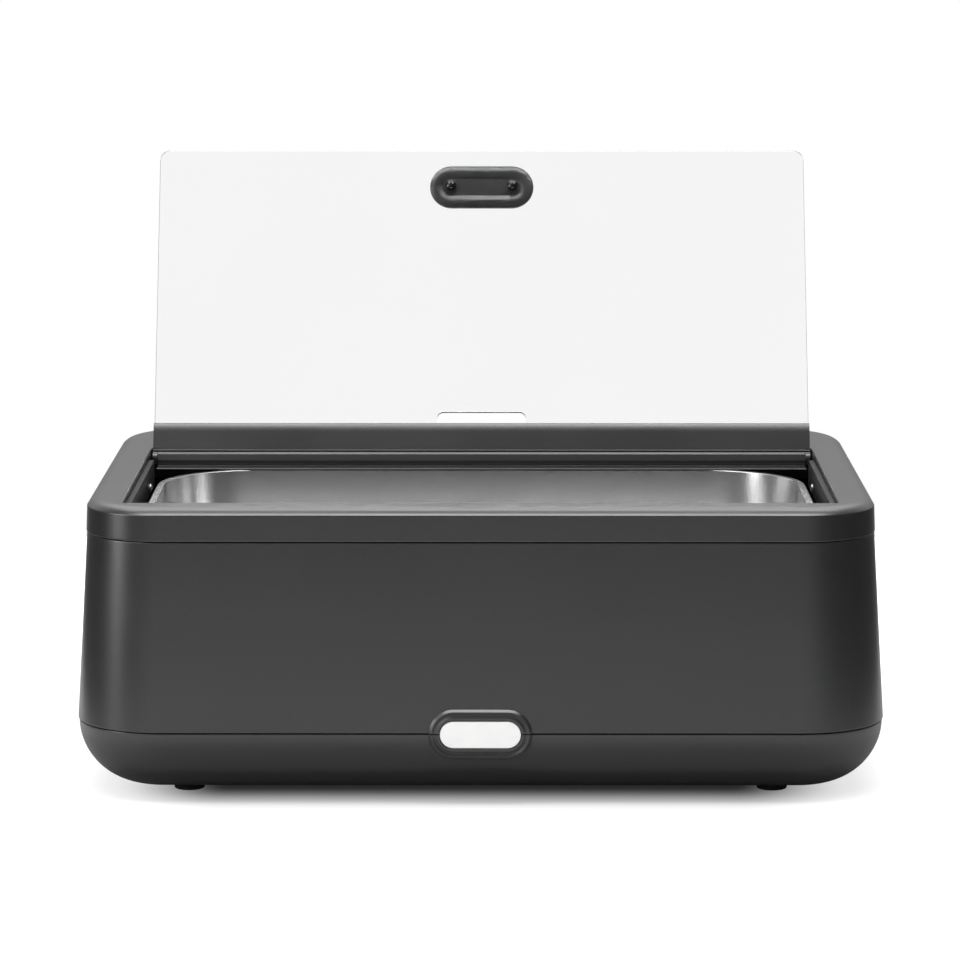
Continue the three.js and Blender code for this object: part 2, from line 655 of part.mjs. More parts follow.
function hingeBase() {
  const front = HINGE_Y - KNUCKLE_RADIUS;
  const lipTop = HINGE_Z - LIP_DEPTH;
  const lipUnder = lipTop - LIP_THICKNESS;
  const under = HINGE_Z - BASE_DEPTH;
  const tail = DECK_Y + BASE_TAIL;
  const lipEdge = LIP_THICKNESS / 2;
  const section = [
    ...arc(front - LIP_REACH + lipEdge, lipUnder + lipEdge, lipEdge, 90, 270, SMALL_ARC_STEPS),
    [front, lipUnder],
    [front, under],
    [tail, under],
    [tail, BASE_FLOOR_Z],
    [HINGE_Y + KNUCKLE_RADIUS, BASE_FLOOR_Z],
    ...arc(HINGE_Y, HINGE_Z, KNUCKLE_RADIUS, 0, 180, 2 * BODY_ARC_STEPS),
    [front, lipTop],
  ];
  const base = prism(section, -BASE_HALF_X, BASE_HALF_X, ALONG_X);
  const bores = SIDES.map(([, sx]) =>
    rod(PIN_RADIUS + GAP, -PIN_SEAT - GAP, PIN_SEAT + GAP, ALONG_X)
      .translate(sx * BASE_HALF_X, HINGE_Y, HINGE_Z));
  return cut(base, ...bores);
}

function hingePin(sx) {
  const outer = LID_HALF_X - GAP;
  const inner = BASE_HALF_X - PIN_SEAT;
  const [from, to] = sx > 0 ? [inner, outer] : [-outer, -inner];
  return rod(PIN_RADIUS, from, to, ALONG_X).translate(0, HINGE_Y, HINGE_Z);
}

// Food pan and water bath: pressed sheet, both walls carried round the same corners

function pressedPan(mouth, flange, topZ, depth) {
  const foot = mouth - PAN_DRAFT;
  const flat = foot - PAN_FLOOR_ROUND;
  const curveZ = topZ - depth + PAN_FLOOR_ROUND;
  const outside = arc(flat, curveZ, PAN_FLOOR_ROUND + SHEET, -90, 0, BODY_ARC_STEPS);
  const inside = arc(flat, curveZ, PAN_FLOOR_ROUND, 0, -90, BODY_ARC_STEPS);
  const edge = [
    [mouth + SHEET, topZ - SHEET],
    [mouth + flange, topZ - SHEET],
    [mouth + flange, topZ],
    [mouth + SHEET / 2, topZ],
    [mouth, topZ - SHEET / 2],
  ];
  return loft([...outside, ...edge, ...inside], PAN_CORNER_X, PAN_CORNER_Y).translate(0, PAN_Y, 0);
}

// Support frame: a plate on the tray's towers, with a collar that carries the bath

function supportFrame() {
  const lowRadius = shellRadius(FRAME_Z) - WALL - 2 * GAP;
  const highRadius = shellRadius(FRAME_TOP_Z) - WALL - 2 * GAP;
  const plate = loft([[lowRadius, FRAME_Z], [highRadius, FRAME_TOP_Z]], BODY_CORNER_X, BODY_CORNER_Y);
  const collarInner = BATH_MOUTH_RADIUS + SHEET + GAP;
  const panOutline = (radius) => outline(PAN_CORNER_X, PAN_CORNER_Y, radius, CORNER_STEPS)
    .map(([x, y]) => [x, y + PAN_Y]);
  const collar = prism(panOutline(collarInner + COLLAR_WALL), FRAME_Z, BATH_TOP_Z - SHEET - GAP);
  const well = prism(panOutline(collarInner), FRAME_Z - OVERRUN, BATH_TOP_Z + OVERRUN);
  const pedestals = [-1, 0, 1].map((place) => block(
    place * PEDESTAL_SPREAD - PEDESTAL_WIDTH / 2, place * PEDESTAL_SPREAD + PEDESTAL_WIDTH / 2,
    HINGE_Y - PEDESTAL_DEPTH / 2, HINGE_Y + PEDESTAL_DEPTH / 2,
    FRAME_Z, HINGE_Z - BASE_DEPTH - GAP));
  const holes = SIDES.flatMap(([, sx]) => ENDS.map(([, sy]) =>
    rod(SCREW_RADIUS + GAP, FRAME_Z - OVERRUN, FRAME_TOP_Z + OVERRUN)
      .translate(sx * (BODY_CORNER_X + TOWER_OUT), sy * (BODY_CORNER_Y + TOWER_OUT), 0)));
  return cut(join(plate, collar, ...pedestals), well, ...holes);
}

function addFrameScrews(group) {
  for (const [side, sx] of SIDES) {
    for (const [end, sy] of ENDS) {
      const geometry = screw(FRAME_SCREW_LENGTH).rotateX(Math.PI);
      geometry.translate(
        sx * (BODY_CORNER_X + TOWER_OUT), sy * (BODY_CORNER_Y + TOWER_OUT), FRAME_TOP_Z + GAP);
      add(group, `frame_screw_${end}_${side}`, geometry, ZINC);
    }
  }
}

// Rubber feet and their screws

function foot() {
  const hole = SCREW_RADIUS + GAP;
  const top = FOOT_HEIGHT - GAP;
  const profile = [
    [FOOT_RECESS_RADIUS, 0],
    [FOOT_RADIUS - FOOT_EDGE, 0],
    [FOOT_RADIUS, FOOT_EDGE],
    [FOOT_RADIUS, top],
    [hole, top],
    [hole, FOOT_RECESS_DEPTH],
    [FOOT_RECESS_RADIUS, FOOT_RECESS_DEPTH],
    [FOOT_RECESS_RADIUS, 0],
  ];
  return turned(profile, FINE_STEPS);
}

function addFeet(group) {
  for (const [side, sx] of SIDES) {
    for (const [end, sy] of ENDS) {
      add(group, `foot_${end}_${side}`, foot().translate(sx * FOOT_X, sy * FOOT_Y, 0), RUBBER);
      const geometry = screw(FOOT_SCREW_LENGTH)
        .translate(sx * FOOT_X, sy * FOOT_Y, FOOT_RECESS_DEPTH - GAP);
      add(group, `foot_screw_${end}_${side}`, geometry, ZINC);
    }
  }
}

// Heating under the bath

function studPlaces() {
  return SIDES.flatMap(([side, sx]) => ENDS.map(([end, sy]) =>
    ({ side, end, x: sx * CLAMP_X, y: PAN_Y + (sy * STUD_SPACING) / 2 })));
}

function heatSpreader() {
  const plate = block(
    -SPREADER_X / 2, SPREADER_X / 2, PAN_Y - SPREADER_Y / 2, PAN_Y + SPREADER_Y / 2,
    SPREADER_Z, SPREADER_Z + SPREADER_THICKNESS);
  const studs = studPlaces().map(({ x, y }) =>
    rod(STUD_RADIUS, SPREADER_Z - STUD_LENGTH, SPREADER_Z + SPREADER_THICKNESS / 2).translate(x, y, 0));
  return join(plate, ...studs);
}

// The element's path: a rectangular loop with round bends, whose two ends run out towards the back
function heaterPath() {
  const halfX = HEATER_LOOP_X / 2;
  const front = PAN_Y - HEATER_LOOP_Y / 2;
  const back = PAN_Y + HEATER_LOOP_Y / 2;
  const tailX = HEATER_TAIL_SPREAD / 2;
  const turns = [
    [-tailX, back + HEATER_TAIL], [-tailX, back], [-halfX, back], [-halfX, front],
    [halfX, front], [halfX, back], [tailX, back], [tailX, back + HEATER_TAIL],
  ].map(([x, y]) => new THREE.Vector3(x, y, HEATER_Z));
  const path = new THREE.CurvePath();
  let from = turns[0];
  for (let i = 1; i < turns.length - 1; i++) {
    const before = turns[i - 1].clone().sub(turns[i]).setLength(HEATER_BEND).add(turns[i]);
    const after = turns[i + 1].clone().sub(turns[i]).setLength(HEATER_BEND).add(turns[i]);
    path.add(new THREE.LineCurve3(from, before));
    path.add(new THREE.QuadraticBezierCurve3(before, turns[i], after));
    from = after;
  }
  path.add(new THREE.LineCurve3(from, turns.at(-1)));
  return path;
}

function heatingElement() {
  const section = arc(0, 0, HEATER_RADIUS, 0, 360 - 360 / HEATER_SIDES, HEATER_SIDES - 1);
  return new THREE.ExtrudeGeometry(shapeOf(section), {
    steps: HEATER_STEPS, bevelEnabled: false, extrudePath: heaterPath(),
  });
}

function clampBar(sx) {
  const bar = block(
    sx * CLAMP_X - CLAMP_WIDTH / 2, sx * CLAMP_X + CLAMP_WIDTH / 2,
    PAN_Y - CLAMP_LENGTH / 2, PAN_Y + CLAMP_LENGTH / 2, CLAMP_Z, CLAMP_Z + CLAMP_THICKNESS);
  const holes = ENDS.map(([, sy]) =>
    rod(STUD_RADIUS + GAP, CLAMP_Z - OVERRUN, CLAMP_Z + CLAMP_THICKNESS + OVERRUN)
      .translate(sx * CLAMP_X, PAN_Y + (sy * STUD_SPACING) / 2, 0));
  return cut(bar, ...holes);
}

function nut() {
  const top = CLAMP_Z - GAP;
  const hexagon = arc(0, 0, NUT_RADIUS, 0, 300, 5);
  return cut(
    prism(hexagon, top - NUT_HEIGHT, top),
    rod(STUD_RADIUS + GAP, top - NUT_HEIGHT - OVERRUN, top + OVERRUN));
}

function thermalCutout() {
  const top = SPREADER_Z - GAP;
  const can = rod(CUTOUT_RADIUS, top - CUTOUT_HEIGHT, top);
  const tabs = block(
    -CUTOUT_TAB_LENGTH / 2, CUTOUT_TAB_LENGTH / 2, -CUTOUT_TAB_WIDTH / 2, CUTOUT_TAB_WIDTH / 2,
    top - SHEET, top);
  return join(can, tabs).translate(0, PAN_Y, 0);
}

function heatShield() {
  const halfX = SHIELD_X / 2;
  const halfY = SHIELD_Y / 2;
  const plate = block(-halfX, halfX, PAN_Y - halfY, PAN_Y + halfY, SHIELD_Z - SHEET, SHIELD_Z);
  const flanges = ENDS.map(([, sy]) => {
    const y = PAN_Y + sy * (halfY - SHEET / 2);
    return block(-halfX, halfX, y - SHEET / 2, y + SHEET / 2, SHIELD_Z - SHEET, SHIELD_Z + SHIELD_FLANGE);
  });
  return join(plate, ...flanges);
}

function addHeating(group) {
  add(group, "heat_spreader", heatSpreader(), ALUMINIUM);
  add(group, "heating_element", heatingElement(), ZINC);
  for (const [side, sx] of SIDES) add(group, `clamp_bar_${side}`, clampBar(sx), ZINC);
  for (const { side, end, x, y } of studPlaces()) {
    add(group, `clamp_nut_${end}_${side}`, nut().translate(x, y, 0), ZINC);
  }
  add(group, "thermal_cutout", thermalCutout(), BLACK_GLOSS);
  add(group, "heat_shield", heatShield(), ZINC);
}

// Rear controls, set in a shallow recess of the shell

function controlPanel() {
  const halfX = PANEL_LENGTH / 2;
  const halfZ = PANEL_HEIGHT / 2;
  const outer = BODY_CORNER_Y + SHELL_FOOT_RADIUS + OVERRUN;
  const tub = block(-halfX, halfX, PANEL_Y - WALL, outer, PANEL_Z - halfZ, PANEL_Z + halfZ);
  // The tub ends flush with the leaning shell
  const fromZ = PANEL_Z - halfZ - OVERRUN;
  const toZ = PANEL_Z + halfZ + OVERRUN;
  const lean = loft(
    [[shellRadius(fromZ) - GAP, fromZ], [shellRadius(toZ) - GAP, toZ]], BODY_CORNER_X, BODY_CORNER_Y);
  const flangeTop = BODY_CORNER_Y + shellRadius(toZ + PANEL_FLANGE) - WALL - 2 * GAP;
  const flange = block(
    -halfX - PANEL_FLANGE, halfX + PANEL_FLANGE, flangeTop - PANEL_FLANGE_THICKNESS, flangeTop,
    PANEL_Z - halfZ - PANEL_FLANGE, PANEL_Z + halfZ + PANEL_FLANGE);
  const room = block(
    -halfX + PANEL_WALL, halfX - PANEL_WALL, PANEL_Y, outer + OVERRUN,
    PANEL_Z - halfZ + PANEL_WALL, PANEL_Z + halfZ - PANEL_WALL);
  const through = (tool, x) => tool.translate(x, 0, PANEL_Z);
  const from = PANEL_Y - WALL - OVERRUN;
  const to = PANEL_Y + OVERRUN;
  const holes = [
    through(rod(NECK_RADIUS + GAP, from, to, ALONG_Y), KNOB_X),
    through(rod(LENS_STEM_RADIUS + GAP, from, to, ALONG_Y), LENS_X),
    through(boxHole(SWITCH_WIDTH - SWITCH_FRAME, SWITCH_HEIGHT - SWITCH_FRAME, from, to), SWITCH_X),
    through(boxHole(INLET_LENGTH - 2 * INLET_FRAME, INLET_HEIGHT - 2 * INLET_LEDGE, from, to), INLET_X),
  ];
  return cut(join(common(tub, lean), flange), room, ...holes);
}

// A rectangular cutter for what passes through the panel, with the clearance round it
function boxHole(length, height, from, to) {
  const halfX = length / 2 + GAP;
  const halfZ = height / 2 + GAP;
  return block(-halfX, halfX, from, to, -halfZ, halfZ);
}

function thermostat() {
  const back = PANEL_Y - WALL - GAP;
  const can = block(
    -THERMOSTAT_WIDTH / 2, THERMOSTAT_WIDTH / 2, back - THERMOSTAT_DEPTH, back,
    -THERMOSTAT_HEIGHT / 2, THERMOSTAT_HEIGHT / 2);
  const neck = rod(NECK_RADIUS, back - OVERRUN, PANEL_Y, ALONG_Y);
  const shaft = rod(SHAFT_RADIUS, back - OVERRUN, PANEL_Y + SHAFT_LENGTH, ALONG_Y);
  return join(can, neck, shaft).translate(KNOB_X, 0, PANEL_Z);
}

// The knob: a skirt, a round grip and a bar across it, bored for the shaft; its back is at 0
function knob() {
  const skirt = turned([
    [0, 0], [KNOB_RADIUS, 0], [KNOB_RADIUS, KNOB_SKIRT / 2], [KNOB_RADIUS - KNOB_SKIRT / 2, KNOB_SKIRT],
    [KNOB_GRIP_RADIUS, KNOB_SKIRT], [KNOB_GRIP_RADIUS - KNOB_TAPER, KNOB_HEIGHT / 2], [0, KNOB_HEIGHT / 2],
  ], FINE_STEPS).applyMatrix4(ALONG_Y);
  const bar = block(
    -KNOB_BAR_WIDTH / 2, KNOB_BAR_WIDTH / 2, KNOB_SKIRT / 2, KNOB_HEIGHT,
    -KNOB_GRIP_RADIUS, KNOB_RADIUS - KNOB_SKIRT / 2);
  const bore = rod(SHAFT_RADIUS + GAP, -OVERRUN, SHAFT_LENGTH, ALONG_Y);
  return cut(join(skirt, bar), bore);
}

function indicatorLens() {
  const profile = [
    [0, -LENS_STEM_LENGTH], [LENS_STEM_RADIUS, -LENS_STEM_LENGTH], [LENS_STEM_RADIUS, GAP],
    [LENS_RADIUS, GAP], [LENS_RADIUS, LENS_HEIGHT / 2], [LENS_RADIUS * CROWN_SHARE, LENS_HEIGHT],
    [0, LENS_HEIGHT],
  ];
  return turned(profile).applyMatrix4(ALONG_Y).translate(LENS_X, PANEL_Y, PANEL_Z);
}

// The rocker's half height, inside the switch's frame
function rockerHalf() {
  return SWITCH_HEIGHT / 2 - SWITCH_FRAME - ROCKER_SWING;
}

function switchHousing() {
  const frontY = PANEL_Y + GAP + SWITCH_FLANGE;
  const flange = block(
    -SWITCH_WIDTH / 2, SWITCH_WIDTH / 2, PANEL_Y + GAP, frontY, -SWITCH_HEIGHT / 2, SWITCH_HEIGHT / 2);
  const bodyX = (SWITCH_WIDTH - SWITCH_FRAME) / 2;
  const bodyZ = (SWITCH_HEIGHT - SWITCH_FRAME) / 2;
  const can = block(-bodyX, bodyX, PANEL_Y - SWITCH_DEPTH, frontY, -bodyZ, bodyZ);
  const roomX = SWITCH_WIDTH / 2 - SWITCH_FRAME;
  const roomZ = SWITCH_HEIGHT / 2 - SWITCH_FRAME;
  const room = block(
    -roomX, roomX, PANEL_Y + ROCKER_PIVOT - ROCKER_BACK - 2 * ROCKER_SWING, frontY + OVERRUN, -roomZ, roomZ);
  return cut(join(flange, can), room).translate(SWITCH_X, 0, PANEL_Z);
}

// The rocker's section about its pivot, dipped in the middle and rounded towards the back
function rocker() {
  const half = rockerHalf();
  const section = [
    [ROCKER_PROUD, half], [-ROCKER_BACK / 2, half], [-ROCKER_BACK, half / 2],
    [-ROCKER_BACK, -half / 2], [-ROCKER_BACK / 2, -half], [ROCKER_PROUD, -half],
    [ROCKER_PROUD - ROCKER_DIP, 0],
  ];
  const halfX = SWITCH_WIDTH / 2 - SWITCH_FRAME - GAP;
  return prism(section, -halfX, halfX, ALONG_X);
}

function powerInlet() {
  const frontY = PANEL_Y + GAP + INLET_FLANGE;
  const flange = block(
    -INLET_LENGTH / 2, INLET_LENGTH / 2, PANEL_Y + GAP, frontY, -INLET_HEIGHT / 2, INLET_HEIGHT / 2);
  const bodyX = INLET_LENGTH / 2 - INLET_FRAME;
  const bodyZ = INLET_HEIGHT / 2 - INLET_LEDGE;
  const can = block(-bodyX, bodyX, PANEL_Y - INLET_DEPTH, frontY, -bodyZ, bodyZ);
  const room = block(
    -SOCKET_LENGTH / 2, SOCKET_LENGTH / 2, frontY - SOCKET_DEPTH, frontY + OVERRUN,
    -SOCKET_HEIGHT / 2, SOCKET_HEIGHT / 2);
  return cut(join(flange, can), room).translate(INLET_X, 0, PANEL_Z);
}

function inletPins() {
  const floorY = PANEL_Y + 2 * GAP + INLET_FLANGE - SOCKET_DEPTH;
  const halfX = SOCKET_LENGTH / 2 - GAP;
  const halfZ = SOCKET_HEIGHT / 2 - GAP;
  const base = block(-halfX, halfX, floorY, floorY + BLADE_BASE, -halfZ, halfZ);
  const blades = [-1, 0, 1].map((place) => block(
    place * BLADE_SPACING - BLADE_WIDTH / 2, place * BLADE_SPACING + BLADE_WIDTH / 2,
    floorY, floorY + BLADE_BASE + BLADE_LENGTH, -BLADE_HEIGHT / 2, BLADE_HEIGHT / 2));
  return join(base, ...blades).translate(INLET_X, 0, PANEL_Z);
}

function addControls(group) {
  add(group, "control_panel", controlPanel(), BLACK);
  add(group, "thermostat", thermostat(), ZINC);
  add(group, "thermostat_knob", knob().translate(KNOB_X, PANEL_Y + GAP, PANEL_Z), BLACK_GLOSS);
  add(group, "indicator_lens", indicatorLens(), AMBER);
  add(group, "switch_housing", switchHousing(), BLACK_GLOSS);
  add(group, "power_inlet", powerInlet(), BLACK_GLOSS);
  add(group, "inlet_pins", inletPins(), ZINC);
  const pivot = new THREE.Group();
  pivot.position.set(SWITCH_X, PANEL_Y + ROCKER_PIVOT, PANEL_Z);
  pivot.rotation.x = THREE.MathUtils.degToRad(ROCKER_DEGREES / 2);
  group.add(pivot);
  add(pivot, "switch_rocker", rocker(), BLACK_GLOSS);
}

// Lid, modelled closed and then swung open about the hinge axis

function lidSheet() {
  const notchHalf = NOTCH_WIDTH / 2;
  const notchY = LID_REAR_Y - BAR_LENGTH - NOTCH_REACH;
  const half = LID_HALF_X;
  const points = [
    ...arc(-half + LID_CORNER, LID_FRONT_Y + LID_CORNER, LID_CORNER, 180, 270, CORNER_STEPS),
    ...arc(half - LID_CORNER, LID_FRONT_Y + LID_CORNER, LID_CORNER, 270, 360, CORNER_STEPS),
    [half, LID_REAR_Y],
    [notchHalf, LID_REAR_Y],
    ...arc(notchHalf - NOTCH_CORNER, notchY + NOTCH_CORNER, NOTCH_CORNER, 0, -90, SMALL_ARC_STEPS),
    ...arc(NOTCH_CORNER - notchHalf, notchY + NOTCH_CORNER, NOTCH_CORNER, -90, -180, SMALL_ARC_STEPS),
    [-notchHalf, LID_REAR_Y],
    [-half, LID_REAR_Y],
  ];
  const sheet = prism(points, LID_UNDER_Z, RIM_TOP_Z);
  const holes = SIDES.map(([, sx]) =>
    rod(SCREW_RADIUS + 2 * GAP, LID_UNDER_Z - OVERRUN, RIM_TOP_Z + OVERRUN)
      .translate((sx * HANDLE_SCREW_SPACING) / 2, HANDLE_Y, 0));
  return cut(sheet, ...holes);
}

function hingeBar() {
  const top = LID_UNDER_Z - GAP;
  const under = top - BAR_DEPTH;
  const front = LID_REAR_Y - BAR_LENGTH;
  const section = [
    ...arc(front + BAR_ROUND, under + BAR_ROUND, BAR_ROUND, 180, 270, BODY_ARC_STEPS),
    ...arc(LID_REAR_Y - BAR_EDGE, under + BAR_EDGE, BAR_EDGE, 270, 360, 2),
    [LID_REAR_Y, top],
    [front, top],
  ];
  const bar = prism(section, -LID_HALF_X, LID_HALF_X, ALONG_X);
  // Each arm runs back from the bar to a hub on the hinge axis
  const arm = [
    [LID_REAR_Y - BAR_DEPTH, under],
    ...arc(HINGE_Y, HINGE_Z, HUB_RADIUS, -90, 90, BODY_ARC_STEPS),
    [LID_REAR_Y, top],
    [LID_REAR_Y - BAR_DEPTH, top],
  ];
  const arms = SIDES.map(([, sx]) => {
    const inner = sx * (LID_HALF_X - ARM_WIDTH);
    const outer = sx * LID_HALF_X;
    return prism(arm, Math.min(inner, outer), Math.max(inner, outer), ALONG_X);
  });
  const bores = SIDES.map(([, sx]) =>
    rod(PIN_RADIUS + GAP, -ARM_WIDTH - OVERRUN, ARM_WIDTH + OVERRUN, ALONG_X)
      .translate(sx * LID_HALF_X, HINGE_Y, HINGE_Z));
  return cut(join(bar, ...arms), ...bores);
}

function handle() {
  const foot = RIM_TOP_Z + GAP;
  const radius = HANDLE_WIDTH / 2;
  const waist = radius - HANDLE_WAIST;
  const head = radius - HANDLE_HEAD_INSET;
  const top = foot + HANDLE_HEIGHT;
  const profile = [
    [radius - HANDLE_EDGE, foot],
    [radius, foot + HANDLE_EDGE],
    [radius, foot + HANDLE_FOOT],
    [waist, foot + HANDLE_FOOT + HANDLE_SWEEP],
    [waist, top - HANDLE_HEAD - HANDLE_SWEEP],
    [head, top - HANDLE_HEAD],
    [head, top - 2 * HANDLE_EDGE],
    [head - 2 * HANDLE_EDGE, top],
  ];
  const grip = loft(profile, (HANDLE_LENGTH - HANDLE_WIDTH) / 2, 0);
  const recess = prism(
    stadium(HANDLE_RECESS_LENGTH, HANDLE_RECESS_WIDTH), foot - OVERRUN, foot + HANDLE_RECESS_DEPTH);
  const holes = SIDES.map(([, sx]) =>
    rod(SCREW_RADIUS + GAP, foot - OVERRUN, foot + HANDLE_SCREW_LENGTH)
      .translate((sx * HANDLE_SCREW_SPACING) / 2, 0, 0));
  return cut(grip, recess, ...holes).translate(0, HANDLE_Y, 0);
}

function washer() {
  const top = LID_UNDER_Z - GAP;
  const hole = SCREW_RADIUS + GAP;
  return turned([
    [hole, top - WASHER_THICKNESS], [WASHER_RADIUS, top - WASHER_THICKNESS],
    [WASHER_RADIUS, top], [hole, top], [hole, top - WASHER_THICKNESS],
  ]);
}

function addLid(group) {
  const hinge = new THREE.Group();
  hinge.position.set(0, HINGE_Y, HINGE_Z);
  hinge.rotation.x = -OPEN_ANGLE;
  group.add(hinge);
  const lid = new THREE.Group();
  lid.position.set(0, -HINGE_Y, -HINGE_Z);
  hinge.add(lid);
  add(lid, "lid_sheet", lidSheet(), CLEAR);
  add(lid, "hinge_bar", hingeBar(), BLACK);
  add(lid, "lid_handle", handle(), BLACK);
  const seat = LID_UNDER_Z - 2 * GAP - WASHER_THICKNESS;
  for (const [side, sx] of SIDES) {
    const x = (sx * HANDLE_SCREW_SPACING) / 2;
    add(lid, `handle_washer_${side}`, washer().translate(x, HANDLE_Y, 0), ZINC);
    add(lid, `handle_screw_${side}`, screw(HANDLE_SCREW_LENGTH).translate(x, HANDLE_Y, seat), ZINC);
  }
}

// Assembly

add(dish, "base_tray", baseTray(), BLACK);
add(dish, "body_shell", bodyShell(), BLACK);
add(dish, "rim_frame", rimFrame(), BLACK);
const badge = prism(
  stadium(PLATE_LENGTH, PLATE_WIDTH), BADGE_FRONT_Y + PLATE_POCKET - GAP - PLATE_THICKNESS,
  BADGE_FRONT_Y + PLATE_POCKET - GAP, ALONG_Y,
).translate(0, 0, LOWER_SEAM_Z);
add(dish, "badge_plate", badge, WHITE);
addFeet(dish);
add(dish, "support_frame", supportFrame(), BLACK);
addFrameScrews(dish);
addRests(dish);
add(dish, "hinge_base", hingeBase(), BLACK);
for (const [side, sx] of SIDES) add(dish, `hinge_pin_${side}`, hingePin(sx), ZINC);
add(dish, "water_bath", pressedPan(BATH_MOUTH_RADIUS, BATH_FLANGE, BATH_TOP_Z, BATH_DEPTH), STEEL);
add(dish, "food_pan", pressedPan(PAN_MOUTH_RADIUS, PAN_FLANGE, PAN_TOP_Z, PAN_DEPTH), STEEL);
addHeating(dish);
addControls(dish);
addLid(dish);

export default dish;
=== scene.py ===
"""Electric chafing dish with a clear lid standing open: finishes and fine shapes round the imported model.

All lengths are in metres. The sizes below are measured from the body's middle on the table, and each finished
mesh is moved back by BodySizes.middle_y, where the body stands in the model's own frame.
"""

import math

import bmesh
import bpy
import numpy as np
from bpy.props import FloatProperty, FloatVectorProperty, PointerProperty
from bpy.types import Operator, Panel, PropertyGroup
from mathutils import Matrix, Vector


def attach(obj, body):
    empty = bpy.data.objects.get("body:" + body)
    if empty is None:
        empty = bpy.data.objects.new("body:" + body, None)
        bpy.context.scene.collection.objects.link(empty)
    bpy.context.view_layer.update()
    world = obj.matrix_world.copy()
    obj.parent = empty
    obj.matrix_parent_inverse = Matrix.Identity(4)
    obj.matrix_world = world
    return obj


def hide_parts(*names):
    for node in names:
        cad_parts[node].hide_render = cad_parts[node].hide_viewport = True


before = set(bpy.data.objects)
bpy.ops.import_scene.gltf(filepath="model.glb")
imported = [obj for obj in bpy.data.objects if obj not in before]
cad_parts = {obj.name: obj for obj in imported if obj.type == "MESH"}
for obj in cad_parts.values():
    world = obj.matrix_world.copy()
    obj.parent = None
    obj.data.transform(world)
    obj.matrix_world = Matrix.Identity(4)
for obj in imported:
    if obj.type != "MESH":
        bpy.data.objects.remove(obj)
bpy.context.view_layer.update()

bl_info = {
    "name": "Chafing dish",
    "version": (1, 0, 0),
    "blender": (4, 5, 0),
    "location": "3D View > Sidebar > Chafing dish",
    "description": "Builds the shells, pan, clear lid and fittings of an electric chafing dish",
    "category": "Object",
}


SIDES = (("left", -1), ("right", 1))
ENDS = (("front", -1), ("rear", 1))
REST_SCREW_SHARES = (0.3, 0.78)
HEAD_SIDE_SHARE = 0.55
LAMPS = ("key", "top", "side", "edge", "back")


def length(name, default, description):
    """A size in metres."""
    return FloatProperty(
        name=name, description=description, default=default, min=0.0, unit="LENGTH", precision=5)


def angle(name, degrees, description):
    """An angle, given in degrees and kept in radians."""
    return FloatProperty(name=name, description=description, default=math.radians(degrees), unit="ROTATION")


def amount(name, default, description):
    """A number without a unit, or in the unit that its description names."""
    return FloatProperty(name=name, description=description, default=default)


def row(name, default, description, unit="NONE"):
    """Numbers that belong together."""
    return FloatVectorProperty(
        name=name, description=description, default=default, size=len(default), unit=unit)


def colour(name, default, description):
    """A colour in linear red, green and blue."""
    return FloatVectorProperty(
        name=name, description=description, default=default, subtype="COLOR", size=3, min=0.0, max=1.0)


